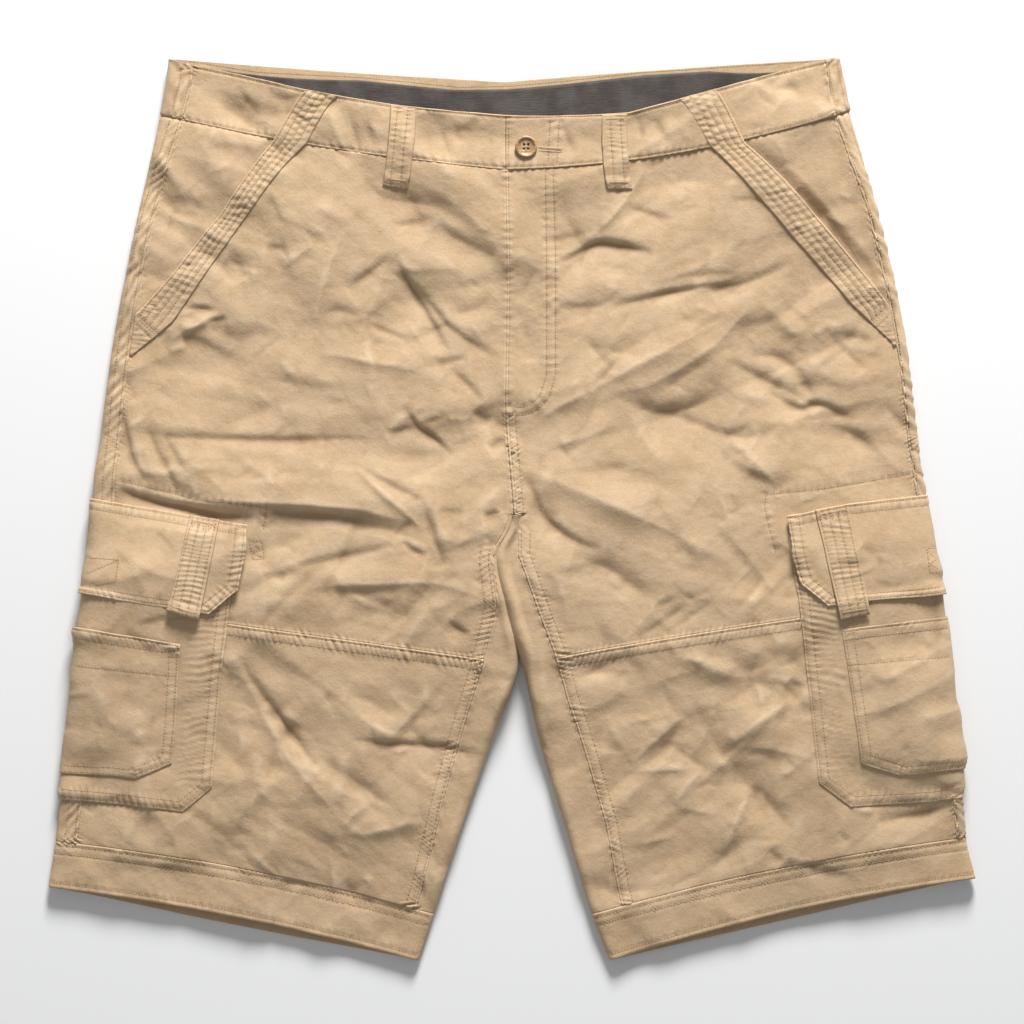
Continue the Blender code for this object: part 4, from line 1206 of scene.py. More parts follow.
def clothAt(side, reach, level, out=0.0, hidden=0.0, layers=("panel",), least=None):
    # points and normals of cloth this far out from the tube, on its top and on its hidden side
    reach, level, out = np.broadcast_arrays(reach, level, out)
    points = tubePoint(side, reach, level, body)
    normals = tubeNormal(side, reach, level, body)
    x, y = points[..., 0], points[..., 1]
    onTop = ease(normals[..., 2], -0.35, 0.25)
    relief = out + sum(readMap(mapNamed(name), x, y) for name in layers)
    if least is not None:
        relief = softMax(relief, least)
    offset = onTop * relief + (1 - onTop) * (hidden + readMap(under, x, y))
    # relief above the surroundings on the top, which the twill paints as lighter ridges and shaded troughs
    wearAndShading = onTop * readMap(wearAndShadingOf(layers), x, y)
    return points + normals * offset[..., None], normals, wearAndShading


def clothPiece(name, points, normals, wearAndShading, weave, finish, wall=0.0, closed=False, dropped=None):
    # a grid of cloth, with its wall inwards
    rows, columns = points.shape[:2]
    shape = bmesh.new()
    bmesh.ops.create_grid(shape, x_segments=columns - 1, y_segments=rows - 1, size=1)
    mesh = bpy.data.meshes.new(name)
    shape.to_mesh(mesh)
    shape.free()
    mesh.vertices.foreach_set("co", (points * mm).astype(np.float32).ravel())
    mesh.update()
    row, column = rows // 2, columns // 3
    if mesh.vertices[row * columns + column].normal.dot(Vector(normals[row, column])) < 0:
        mesh.flip_normals()
    corners = np.empty(len(mesh.loops), np.int32)
    mesh.loops.foreach_get("vertex_index", corners)
    threads = mesh.uv_layers.new(name="weave")
    threads.data.foreach_set("uv", weave.reshape(-1, 2)[corners].astype(np.float32).ravel())
    # the relief attribute that paints lighter ridges and painted shade in the troughs
    wearAndShadingLayer = mesh.attributes.new("wearAndShading", "FLOAT", "POINT")
    wearAndShadingLayer.data.foreach_set("value", wearAndShading.astype(np.float32).ravel())
    if closed or dropped is not None:
        shape = bmesh.new()
        shape.from_mesh(mesh)
        if dropped is not None:
            shape.verts.ensure_lookup_table()
            unused = [shape.verts[k] for k in np.flatnonzero(dropped.ravel())]
            bmesh.ops.delete(shape, geom=unused, context="VERTS")
        if closed:
            bmesh.ops.remove_doubles(shape, verts=shape.verts, dist=0.02 * mm)
        shape.to_mesh(mesh)
        shape.free()
    mesh.shade_smooth()
    mesh.materials.append(finish)
    piece = bpy.data.objects.new(name + "_cloth", mesh)
    scene.collection.objects.link(piece)
    if wall:
        thickness = piece.modifiers.new("wall", "SOLIDIFY")
        thickness.thickness = wall * mm
        thickness.offset = -1
        thickness.use_quality_normals = True
    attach(piece, "root")
    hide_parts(name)


def lay(name, side, reach, level, out=0.0, hidden=0.0, layers=("panel",), wall=0.0, least=None, **more):
    reach, level, out = np.broadcast_arrays(reach, level, out)
    points, normals, wearAndShading = clothAt(side, reach, level, out, hidden, layers, least)
    weave = np.stack([reach, downOf(side, level)], axis=-1) * 0.01
    clothPiece(name, points, normals, wearAndShading, weave, twillFinish, wall, **more)


pitch = {"panel": 1.56, "edge": 0.7, "back": 2.6, "hidden": 6.0, "pocket": 1.5, "flap": 1.2, "band": 1.7}


def downTo(side, level, more):
    # a level moved down by some millimetres
    return levelDown(side, downOf(side, level) + more)


def withCrotch(rows):
    # a row just above the crotch, and one at it
    gap = 0.015
    near = np.abs(rows - crotch) < gap + 0.005
    return np.sort(np.concatenate([rows[~near], [crotch - gap, crotch]]))


def downFrom(side, level, top):
    return downOf(side, level) - downOf(side, top)


def pacedEnds(pitch, near, fine):
    # shares from 0 to 1, closer together at both ends
    return paced(0, 1, pitch, [(0, near, fine), (1, near, fine)])


def toEnd(share):
    return np.minimum(share, 1 - share)


def planXY(side, reach, level):
    return np.moveaxis(planOf(side, reach, level), -1, 0)


def fronts(side):
    fineRows = [(level, 3, pitch["edge"]) for level in (waistSeam, knee, hemTop)]
    top, bottom = downTo(side, waistSeam, -tuck), downTo(side, knee, tuck)
    rows = withCrotch(rowsDown(side, top, bottom, pitch["panel"], fineRows[:2]))
    seam, centre = frontOuter(side, rows), centreOrInseam(side, rows)
    below = ease(rows, mouthBottom(side) - 0.02, mouthBottom(side) + 0.08)
    # the left front runs in under the fly
    underFly = 1 - ease(rows, crotch - 0.01, crotch + 0.1) if side == "left" else 0 * rows
    reach = spread(fineEnds(seam - below * tuck, centre + underFly * tuck), (0.7, pitch["panel"], 0.7))
    level = rows[:, None]
    fromSeam, fromCentre = reach - seam[:, None], centre[:, None] - reach
    below, underFly = below[:, None], underFly[:, None]
    out = (1 - below) * overEdge(fromSeam) + below * underEdge(fromSeam)
    out = out + (1 - underFly) * overEdge(fromCentre) + underFly * underEdge(fromCentre)
    out = out + underEdge(downFrom(side, level, waistSeam)) + underEdge(-downFrom(side, level, knee))
    lay(f"front_upper_{side}", side, reach, level, out, layers=("panel", "mouth"))

    rows = rowsDown(side, knee, downTo(side, hemTop, tuck), pitch["panel"], fineRows[1:])
    seam, inner = sideSeam(side, rows), inseam(side, rows)
    reach = spread(fineEnds(seam - tuck, inner), (1.0, pitch["panel"], 0.7))
    level = rows[:, None]
    out = underEdge(reach - seam[:, None]) + overEdge(inner[:, None] - reach)
    out = out + overEdge(downFrom(side, level, knee)) + underEdge(-downFrom(side, level, hemTop))
    lay(f"front_lower_{side}", side, reach, level, out)


# A facing sinks below the front, and dips further in the gaping mouth.
facingShape = {"pitch": 2.0, "width": 10, "sunk": 1.2, "left": 0.8, "right": 4.0, "dipReach": 13}


def pocketFacing(side):
    rows = rowsDown(side, downTo(side, waistSeam, -tuck), mouthBottom(side), facingShape["pitch"])
    seam, outer = sideSeam(side, rows), frontOuter(side, rows)
    inner = np.maximum(outer + facingShape["width"], seam + 2)
    reach = spread([seam - tuck, seam + 3, inner], (0.8, facingShape["pitch"]))
    level = rows[:, None]
    below = downFrom(side, level, waistSeam)
    part = np.clip((level - waistSeam) / (mouthBottom(side) - waistSeam), 0, 1)
    dip = facingShape[side] * np.sin(math.pi * part) ** 0.8
    sunk = facingShape["sunk"] * ease(below, 0, 25)
    sunk = sunk + dip * ease(np.abs(outer[:, None] - reach), facingShape["dipReach"], 1)
    sunk = sunk * ease(reach - seam[:, None], 0, 10)
    out = underEdge(reach - seam[:, None]) + underEdge(below) - sunk
    lay(f"pocket_facing_{side}", side, reach, level, out)


bandShape = {"out": 1.35, "roll": 0.8, "wall": 0.9}


def pocketBand(side):
    bottom = locate(side, bandInners[side])[1][-1]
    level = np.linspace(frontTop, bottom, 200)
    share = spread(fineEnds(0.0, 1.0, 0.12), (0.03, 0.04, 0.03))[None, :]
    down = pacedEnds(0.0045, 0.01, 0.003)[:, None]
    # the top follows the waistband's edge
    outer, inner = frontOuter(side, level), bandInner(side, level)
    top = levelAt(side, frontTopEdges[side], between(outer[0], inner[0], share))
    rows = between(top, bottom, down)
    start, end = np.interp(rows, level, outer), np.interp(rows, level, inner)
    inside, fromEnds = toEnd(share) * (end - start), toEnd(down) * downFrom(side, bottom, frontTop)
    out = bandShape["out"] + rolledEdge(inside, bandShape["roll"]) + rolledEdge(fromEnds, bandShape["roll"])
    reach = between(start, end, share)
    lay(f"pocket_band_{side}", side, reach, rows, out, layers=("band", "mouth"), wall=bandShape["wall"])


legsMeet = {"left": 1.4, "right": 2.8}  # how far out the inner folds stand, to lie against each other


def back(side):
    top, bottom = downTo(side, waistSeam, -tuck), downTo(side, hemTop, tuck)
    rows = withCrotch(rowsDown(side, top, bottom, pitch["back"], [(crotch, 4, 1.2), (hemTop, 3, 1.0)]))
    end, turn = flatEnd(side, rows), innerTurn(rows)
    corner = innerRadius(rows) * math.pi / 2
    seam, inner = sideSeam(side, rows), inseam(side, rows)
    last = 2 * end + turn - inner
    anchors = [seam, seam - 2, foldArc, -foldArc, -end, -end - corner, -end - turn + corner, -end - turn]
    anchors += [-last + 2, -last - tuck]
    fine, hidden = pitch["panel"], pitch["hidden"]
    reach = spread(anchors, (0.7, fine, fine, hidden, fine, 2.5, fine, fine, 0.8))
    level = rows[:, None]
    dropped = (level < crotch) & (reach < -end[:, None] - 0.01)
    out = overEdge(seam[:, None] - reach) + np.where(level >= crotch, underEdge(reach + last[:, None]), 0)
    out = out + underEdge(downFrom(side, level, waistSeam)) + underEdge(-downFrom(side, level, hemTop))
    # the inner folds meet above the knee
    fromFlat = turn[:, None] + end[:, None] + reach
    onFold = ease(fromFlat, -6, 1) * (1 - ease(fromFlat, 0.3 * turn[:, None], 0.8 * turn[:, None]))
    together = (1 - ease(level, knee - 0.7, knee + 0.3)) * (level >= crotch)
    out = out + legsMeet[side] * onFold * together
    lay(f"back_{side}", side, reach, level, out, dropped=dropped)


waistShape = {
    "front": {"out": 0.3, "roll": 0.9, "overFly": 0.7, "flyRoll": 1.2, "wall": 1.8},
    "back": {"out": 0.55, "roll": 1.2, "sideRoll": 0.9, "wall": 1.9},
    "tape": {"pitch": 2.4, "hidden": -2.3, "wall": 0.8},
    "underlap": {"columns": (28, -11, 14), "rows": (306, 92, 60), "out": -2.3, "wall": 0.9},
}


def waistbandFront(side):
    shape = waistShape["front"]
    outer = sideSeam(side, np.array([frontTop + 0.3]))[0]
    end = flatEnd(side, frontTop)
    under = tuck if side == "left" else 0
    share = pacedEnds(pitch["band"] / end, 0.015, 0.003)[None, :]
    down = pacedEnds(0.034, 0.05, 0.012)[:, None]
    top = levelAt(side, frontTopEdges[side], between(outer, end, share))
    level = between(top, waistSeam, down)
    seam, centre = sideSeam(side, level), flatEnd(side, level)
    reach = between(seam - tuck, centre + under, share)
    out = shape["out"] + rolledEdge(toEnd(down) * downFrom(side, waistSeam, top), shape["roll"])
    out = out + underEdge(reach - seam)
    overFly = rolledEdge(centre - reach, shape["flyRoll"]) + shape["overFly"]
    out = out + (underEdge(centre - reach) if under else overFly)
    lay(f"waistband_front_{side}", side, reach, level, out, layers=("waist",), wall=shape["wall"])


def bandAcross(name, halves, hidden, finish, wall):
    # a band across the back in one piece, from its two halves
    grids = []
    for side, (reach, level, out) in halves.items():
        points, normals, wearAndShading = clothAt(side, reach, level, out, hidden, ("waist",))
        weave = np.stack([mirror[side] * (reach + flatEnd(side, level)), downOf(side, level)], axis=-1) * 0.01
        grid = [points, normals, wearAndShading, weave]
        grids.append(grid if side == "left" else [part[:, -2::-1] for part in grid])
    joined = [np.concatenate(parts, axis=1) for parts in zip(*grids)]
    clothPiece(name, *joined, finish, wall)


def toCentre(side, reach, level, end):
    # columns on the underside, spread so that the last one is on the centre line
    share = (flatEnd(side, level) - foldArc) / (end - foldArc)
    return np.where(reach < -foldArc, (reach + foldArc) * share - foldArc, reach + 0 * level)


def waistbandBack():
    shape, halves = waistShape["back"], {}
    down = paced(0, 1, 0.045, [(0, 0.05, 0.012), (1, 0.05, 0.02)])[:, None]
    for side in sections:
        outer = sideSeam(side, np.array([frontTop + 0.3]))[0]
        end = flatEnd(side, frontTop)
        reach = spread([outer, foldArc, -foldArc, -end], (1.4, 1.4, 2.2))[None, :]
        over = np.interp(reach, (-foldArc, foldArc), (0, 1))
        top = over * levelAt(side, frontTopEdges[side], reach) + (1 - over) * backTop
        level = between(top, waistSeam, down)
        seam = sideSeam(side, level)
        toSeam = foldArc + (reach - foldArc) * (seam - foldArc) / (outer - foldArc)
        reach = np.where(reach > foldArc, toSeam, toCentre(side, reach, level, end))
        fromEnds = toEnd(down) * downFrom(side, waistSeam, top)
        out = shape["out"] + rolledEdge(fromEnds, shape["roll"]) + rolledEdge(seam - reach, shape["sideRoll"])
        halves[side] = (reach, level, out)
    bandAcross("waistband_back", halves, 0.0, twillFinish, shape["wall"])


def innerTape():
    shape, halves = waistShape["tape"], {}
    down = paced(0, 1, 0.05)[:, None]
    for side in sections:
        end = flatEnd(side, frontTop)
        reach = spread([-foldArc - 3, -end], (shape["pitch"],))[None, :] + 0 * down
        level = between(levelAt(side, tapeTopEdges[side], -reach), waistSeam, down)
        reach = toCentre(side, reach, level, end)
        halves[side] = (reach, level, 0.0 * reach)
    bandAcross("inner_tape", halves, shape["hidden"], tapeFinish, shape["wall"])


def flyUnderlap():
    shape = waistShape["underlap"]
    columns, rows = np.linspace(*shape["columns"]), np.linspace(*shape["rows"])
    places = [locate("right", [(x, y) for x in columns]) for y in rows]
    reach, level = np.array(places).transpose(1, 0, 2)
    lay("fly_underlap", "right", reach, level, shape["out"], wall=shape["wall"])


def strap(side, edges, down, across):
    # reach and level over a straight strap, from its two long edges
    places = zip(locate(side, edges[0]), locate(side, edges[1]))
    return [between(between(*outer, down), between(*inner, down), across) for outer, inner in places]


loopShape = {"width": 20.0, "length": 66.0, "out": 1.4, "arch": 0.9, "crown": 0.5, "foldedEnd": 0.9}


def beltLoops():
    across = pacedEnds(0.055, 0.06, 0.03)[None, :]
    for name, (side, over, edges) in loops.items():
        down = pacedEnds(0.0155 if over > 0 else 0.03, 0.02, 0.008)[:, None]
        reach, level = strap(side, edges, down, across)
        level = np.maximum(level, downTo(side, backTop, -1.6 if over < 0 else 0))
        inside = np.minimum(toEnd(across) * loopShape["width"], toEnd(down) * loopShape["length"])
        # the loop is caught down at the waist seam and at its folded end, and stands up between
        arch = loopShape["arch"] * np.sin(math.pi * np.clip((down - 0.05) / 0.85, 0, 1))
        arch = arch + loopShape["crown"] * np.sin(math.pi * across)
        foldedEnd = loopShape["foldedEnd"] * ease(np.abs(down - 0.93), 0.06, 0.01)
        out = loopShape["out"] + arch + foldedEnd + rolledEdge(inside, 0.9)
        lay(f"belt_loop_{name}", side, over * reach, level, out, hidden=1.5, layers=("loop",), wall=1.0)


def wrapped(side, edges, hidden, height, step):
    # reach and level over a piece that wraps round the outer fold, and the parts of its height
    innerReach, innerLevel = locate(side, edges["inner"])
    top = levelAt(side, edges["top"], innerReach)
    bottom = levelAt(side, edges["bottom"], innerReach)
    part = (innerLevel - top) / (bottom - top)
    part = (part - part[0]) / (part[-1] - part[0])
    down = paced(0, 1, step / height, [(0, 3 / height, 0.7 / height), (1, 4 / height, 0.7 / height)])
    inner = np.interp(down, part, innerReach)
    reach = spread([0 * down - hidden, -foldArc, foldArc, inner - 3, inner], (4.5, 1.6, step, 0.7))
    top, bottom = levelAt(side, edges["top"], reach), levelAt(side, edges["bottom"], reach)
    return reach, top + (bottom - top) * down[:, None], down[:, None]


pocketShape = {"out": 2.0, "sewn": 1.3, "sewnReach": 9, "top": 1.2, "topReach": 50, "roll": 1.1, "crown": 0.6}
flapShape = {"out": 1.4, "rise": 1.3, "riseFrom": 2, "riseTo": 36, "roll": 0.8, "topRoll": 1.1, "above": 0.5}
patchShape = {"out": 3.6, "sewn": 0.8, "sewnReach": 7, "roll": 1.0, "topRoll": 0.9, "above": 1.1}


def pocketOut(side, x, y):
    inside = awayFrom(outlineOf(cargo[side]["pocket"]), x, y)
    top = awayFrom(cargo[side]["pocket"]["top"], x, y)
    shape = pocketShape
    atSeam, atTop = ease(inside, shape["sewnReach"], 0), ease(top, shape["topReach"], 0)
    sewnDown = shape["sewn"] * atSeam + shape["top"] * atTop * (1 - atSeam)
    return shape["out"] - sewnDown + rolledEdge(inside, shape["roll"]) + shape["crown"] * ease(inside, 0, 3)


def pocketLeast(side, x, y):
    # the pocket stays above the panels
    inside = awayFrom(outlineOf(cargo[side]["pocket"]), x, y)
    return readMap(mapNamed("panel"), x, y) + 0.9 + rolledEdge(inside, 0.9)


def pocketTop(side, x, y):
    return softMax(pocketOut(side, x, y) + readMap(mapNamed("pocket"), x, y), pocketLeast(side, x, y))


def flapOut(side, x, y):
    # a flap is sewn down along its top, and lies on the pocket below that
    inside = awayFrom(outlineOf(cargo[side]["flap"]), x, y)
    top = awayFrom(cargo[side]["flap"]["top"], x, y)
    shape = flapShape
    rise = shape["rise"] * ease(top, shape["riseFrom"], shape["riseTo"])
    return shape["out"] + rise + rolledEdge(inside, shape["roll"]) + rolledEdge(top, shape["topRoll"])


def onPocket(side, x, y):
    # how far out the flap has to be to lie on the pocket
    top = awayFrom(cargo[side]["flap"]["top"], x, y)
    above = flapShape["above"]
    return (pocketTop(side, x, y) + above) * ease(top, 2, 16) - above


def onFlap(side, x, y):
    above = flapShape["above"]
    return softMax(flapOut(side, x, y) + readMap(mapNamed("flap"), x, y), onPocket(side, x, y)) + above


# How far each piece runs on over the outer fold, its height, the space below it there, and its wall.
wrapping = {
    "pocket": (75, 215, 1.5, 0.0),
    "flap": (79, 76, 1.5, 1.3),
    "patch": (45, 112, 3.0, 0.0),
}
tabShape = {"width": 24, "length": 78, "above": 0.9, "roll": 0.9, "wall": 1.2}


def cargoPocket(side):
    edges = cargo[side]
    past, height, hidden, _ = wrapping["pocket"]
    reach, level, _ = wrapped(side, edges["pocket"], past, height, pitch["pocket"])
    x, y = planXY(side, reach, level)
    out, least = pocketOut(side, x, y), pocketLeast(side, x, y)
    lay(f"cargo_pocket_{side}", side, reach, level, out, hidden, ("pocket",), least=least)

    past, height, hidden, wall = wrapping["flap"]
    reach, level, down = wrapped(side, edges["flap"], past, height, pitch["flap"])
    x, y = planXY(side, reach, level)
    out, least, rise = flapOut(side, x, y), onPocket(side, x, y), hidden * (1 + ease(down, 0, 0.12))
    lay(f"cargo_flap_{side}", side, reach, level, out, rise, ("flap",), wall, least)

    past, height, hidden, _ = wrapping["patch"]
    reach, level, _ = wrapped(side, edges["patch"], past, height, pitch["pocket"])
    x, y = planXY(side, reach, level)
    inside = awayFrom(outlineOf(edges["patch"]), x, y)
    top = awayFrom(edges["patch"]["top"], x, y)
    roll = rolledEdge(inside, patchShape["roll"])
    out = patchShape["out"] - patchShape["sewn"] * ease(inside, patchShape["sewnReach"], 0)
    out = out + roll + rolledEdge(top, patchShape["topRoll"])
    least = pocketTop(side, x, y) + patchShape["above"] + roll
    lay(f"patch_pocket_{side}", side, reach, level, out, hidden, ("pocket", "patch"), least=least)

    down, across = pacedEnds(0.014, 0.02, 0.008)[:, None], pacedEnds(0.05, 0.06, 0.025)[None, :]
    reach, level = strap(side, edges["tab"], down, across)
    inside = np.minimum(toEnd(across) * tabShape["width"], toEnd(down) * tabShape["length"])
    least = onFlap(side, *planXY(side, reach, level)) + rolledEdge(inside, tabShape["roll"])
    out = least + tabShape["above"]
    lay(f"flap_tab_{side}", side, reach, level, out, 4.5, ("tab",), tabShape["wall"], least)


hemShape = {"pitch": 1.6, "hang": 0.16, "roll": 1.2, "topRoll": 0.3, "out": -0.2, "wall": 1.5}


def hemBand(side):
    rows = rowsDown(side, hemTop, hemEdge, hemShape["pitch"], [(hemTop, 2, 0.8), (hemEdge, 2, 0.7)])
    end, turn = flatEnd(side, rows), innerTurn(rows)
    corner = innerRadius(rows) * math.pi / 2
    start = foldArc + 0 * rows
    once = start - 2 * end - turn
    anchors = [start, -start, -end, -end - corner, -end - turn + corner, -end - turn, once]
    reach = spread(anchors, (1.6, 3.5, 1.6, 2.0, 1.6, 1.6))
    across = np.clip((-reach - foldArc) / (end[:, None] - foldArc), 0, 1)
    level = rows[:, None]
    hang = hemShape["hang"] * np.sin(math.pi * across) * (level - hemTop)
    out = hemShape["out"] + rolledEdge(-downFrom(side, level, hemEdge), hemShape["roll"])
    out = out + rolledEdge(downFrom(side, level, hemTop), hemShape["topRoll"])
    wall = hemShape["wall"]
    lay(f"hem_{side}", side, reach, level + hang, out, layers=("hem",), wall=wall, closed=True)


for side in sections:
    fronts(side)
    pocketFacing(side)
    pocketBand(side)
    back(side)
    waistbandFront(side)
    cargoPocket(side)
    hemBand(side)
waistbandBack()
innerTape()
flyUnderlap()
beltLoops()

# The real cuts: piece, what it lies on, and its width, length and area in metres, for the left and
# the right one, or for the only one.
cuts = (
    ("front_upper", ("back",), (0.317, 0.405, 0.1047), (0.332, 0.403, 0.1073)),
    ("front_lower", ("back",), (0.318, 0.236, 0.0546), (0.313, 0.238, 0.0542)),
    ("back", (), (0.43, 0.624, 0.1987), (0.43, 0.624, 0.1969)),
    ("pocket_facing", ("back",), (0.090, 0.165, 0.0081), (0.090, 0.165, 0.0073)),
    ("cargo_pocket", ("front_lower", "back"), (0.205, 0.216, 0.0424), (0.205, 0.216, 0.0422)),
    ("cargo_flap", ("cargo_pocket",), (0.205, 0.078, 0.0153), (0.205, 0.078, 0.0152)),
    ("patch_pocket", ("cargo_pocket",), (0.142, 0.112, 0.0154), (0.142, 0.112, 0.0157)),
    ("pocket_band", ("front_upper", "waistband_front"), (0.027, 0.265, 0.0054), (0.027, 0.265, 0.0060)),
    ("waistband_front", ("back",), (0.265, 0.045, 0.0112), (0.265, 0.045, 0.0114)),
    ("waistband_back", (), (0.560, 0.070, 0.0358)),
    ("inner_tape", ("waistband_back",), (0.520, 0.054, 0.0278)),
    ("fly_underlap", ("back_left", "back_right"), (0.040, 0.215, 0.0086)),
    ("flap_tab", ("cargo_flap",), (0.025, 0.090, 0.0020), (0.028, 0.090, 0.0024)),
    ("hem", (), (0.620, 0.041, 0.0251), (0.620, 0.041, 0.0232)),
    ("belt_loop_front", ("waistband_front", "front_upper"), (0.020, 0.070, 0.0014), (0.020, 0.068, 0.0013)),
    ("belt_loop_back_left", ("waistband_back",), (0.021, 0.074, 0.0015)),
    ("belt_loop_back_right", ("waistband_back",), (0.021, 0.074, 0.0015)),
    ("belt_loop_back_centre", ("waistband_back",), (0.021, 0.092, 0.0019)),
)


print("stitches")

stitching = {
    "pitch": 2.5,
    "length": 1.75,
    "width": 0.55,
    "height": 0.32,
    "bite": 0.06,
    # the dark disc of painted shadow in each needle hole: its size and how far it floats above the cloth
    "hole": 0.36,
    "holeAbove": 0.05,
    "wander": 0.08,
    "tackPitch": 0.62,  # the stitches of a bar lie close together
    "tackWidth": 0.6,
}
bpy.context.view_layer.update()
graph = bpy.context.evaluated_depsgraph_get()
sewnGroups = {}


def resampled(path, step):
    path = np.asarray(path, float)
    away = wayAlong(path)
    count = max(2, round(away[-1] / step))
    way = (np.arange(count) + 0.5) / count * away[-1]
    return np.stack([np.interp(way, away, path[:, k]) for k in (0, 1)], axis=1)


def topmost(x, y):
    # the piece on top here, and the place and slope of its face
    hit, place, normal, _, piece, _ = scene.ray_cast(graph, Vector((x, y, 60)) * mm, Vector((0, 0, -1)))
    return (piece.name.removesuffix("_cloth"), place, normal) if hit else (None, None, None)


def lyingAlong(place, normal, heading, length, width, height):
    # takes a unit ball to a stitch that lies along its heading
    along = (heading - heading.dot(normal) * normal).normalized()
    aside = normal.cross(along)
    axes = Matrix((along * length, aside * width, normal * height)).transposed().to_4x4()
    return Matrix.Translation(place) @ axes


def addStitch(shape, on, x, y, heading, length, width):
    name, place, normal = topmost(x, y)
    if name not in on:
        return
    place = place - normal * stitching["bite"] * mm
    matrix = lyingAlong(place, normal, heading, length / 2 * mm, width / 2 * mm, stitching["height"] * mm)
    bmesh.ops.create_uvsphere(shape, u_segments=5, v_segments=3, radius=1, matrix=matrix)


# a small dark disc just above the cloth, painted shadow where the thread goes into a needle hole
def addHoleShadow(shape, on, x, y, heading):
    name, place, normal = topmost(x, y)
    if name not in on:
        return
    size = stitching["hole"] * mm
    place = place + normal * stitching["holeAbove"] * mm
    matrix = lyingAlong(place, normal, heading, 1.25 * size, size, size)
    made = bmesh.ops.create_circle(shape, cap_ends=True, segments=5, radius=1, matrix=matrix)
    for face in made["verts"][0].link_faces:
        face.material_index = 1


def keepSewn(group, shape):
    # adds a row to its group
    row = bpy.data.meshes.new(group)
    shape.to_mesh(row)
    shape.free()
    if group not in sewnGroups:
        sewnGroups[group] = bmesh.new()
    sewnGroups[group].from_mesh(row)
    bpy.data.meshes.remove(row)


def stitchRow(group, path, on):
    points = resampled(path, stitching["pitch"])
    shape = bmesh.new()
    for (x0, y0), (x1, y1) in zip(points, points[1:]):
        heading = Vector((x1 - x0, y1 - y0, 0)).normalized()
        x, y = [middle + chance.normal(0, stitching["wander"]) for middle in ((x0 + x1) / 2, (y0 + y1) / 2)]
        length = stitching["length"] * chance.uniform(0.9, 1.08)
        addStitch(shape, on, x, y, heading, length, stitching["width"])
        addHoleShadow(shape, on, x1, y1, heading)
    keepSewn(group, shape)


def barTack(group, start, end, width, on, pitch=stitching["tackPitch"]):
    # close stitches side by side, each this long across the way from start to end
    start, end = np.array(start, float), np.array(end, float)
    way = (end - start) / np.linalg.norm(end - start)
    heading = Vector((-way[1], way[0], 0))
    shape = bmesh.new()
    for x, y in resampled((start, end), pitch):
        addStitch(shape, on, x, y, heading, width * chance.uniform(0.9, 1.1), stitching["tackWidth"])
    keepSewn(group, shape)


def tackAcross(group, edges, bars, piece):
    # bars across both ends of a strap
    for share in bars["ends"]:
        start, end = between(*edges[0], share), between(*edges[1], share)
        inset = bars["inset"]
        barTack(group, between(start, end, inset), between(start, end, 1 - inset), bars["width"], (piece,))


for group, path, on in stitchRows:
    stitchRow(group, path, on)

# Bars on the loops, the tabs and the ends of the slash pockets. Ends, inset and reach are shares.
tacks = {
    "loop": {"ends": (0.06, 0.91), "inset": 0.14, "width": 2.6},
    "tab": {"ends": (0.05, 0.95), "inset": 0.12, "width": 2.8},
    "mouth": {"steps": (3.0, 6.2, 9.4, 12.6), "reach": 0.55, "width": 1.4, "pitch": 0.7},
}
for name, (side, edges) in frontLoops.items():
    tackAcross("loop_" + side, edges, tacks["loop"], f"belt_loop_{name}")
for side in sections:
    tackAcross("tab_" + side, np.array(cargo[side]["tab"], float), tacks["tab"], f"flap_tab_{side}")
    mouthEnd, bandEnd = np.array((pocketMouths[side][-1], bandInners[side][-2]), float)
    bars, on = tacks["mouth"], (f"pocket_band_{side}",)
    bar = (bandEnd - mouthEnd) * bars["reach"]
    for step in bars["steps"]:
        start = mouthEnd + (0.5 * mirror[side], step)
        barTack("band_" + side, start, start + bar, bars["width"], on, bars["pitch"])

buttonhole = {
    "ends": ((20.5, 281.6), (37.5, 280.2)),
    "lip": 1.25,
    "width": 2.0,
    "pitch": 0.55,
    "bar": ((0.4, -1.6), (0.4, 1.6)),  # across the outer end
    "barWidth": 1.8,
    "barPitch": 0.5,
    "slotPitch": 1.0,
}
slotEnds, on = np.array(buttonhole["ends"]), ("waistband_front_right",)
for aside in (-1, 1):
    lip = slotEnds + (0, aside * buttonhole["lip"])
    barTack("waist_right", *lip, buttonhole["width"], on, buttonhole["pitch"])
bar = slotEnds[1] + buttonhole["bar"]
barTack("waist_right", *bar, buttonhole["barWidth"], on, buttonhole["barPitch"])
# the slit is drawn as a row of dark discs: painted shade in the opening
slotShadow = bmesh.new()
for x, y in resampled(slotEnds, buttonhole["slotPitch"]):
    addHoleShadow(slotShadow, on, x, y, Vector((1, 0, 0)))
keepSewn("waist_right", slotShadow)


def objectOf(name, shape, *finishes, smooth=False):
    mesh = bpy.data.meshes.new(name)
    shape.to_mesh(mesh)
    shape.free()
    if smooth:
        mesh.shade_smooth()
    for finish in finishes:
        mesh.materials.append(finish)
    made = bpy.data.objects.new(name, mesh)
    scene.collection.objects.link(made)
    return made


for group, shape in sewnGroups.items():
    sewn = objectOf("stitches_" + group, shape, threadFinish, holeShadowFinish, smooth=True)
    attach(sewn, "root")

print("button")

buttonSize = {
    "place": (11, 283),
    "seatAside": 14,  # the cloth is measured this far beside it
    "gap": 0.25,
    "radius": 8.6,
    "height": 3.2,
    "rim": 1.9,
    "floor": 2.0,
    "holes": 4,
    "holeRadius": 1.0,
    "holeCircle": 2.3,
    "steps": 64,
}


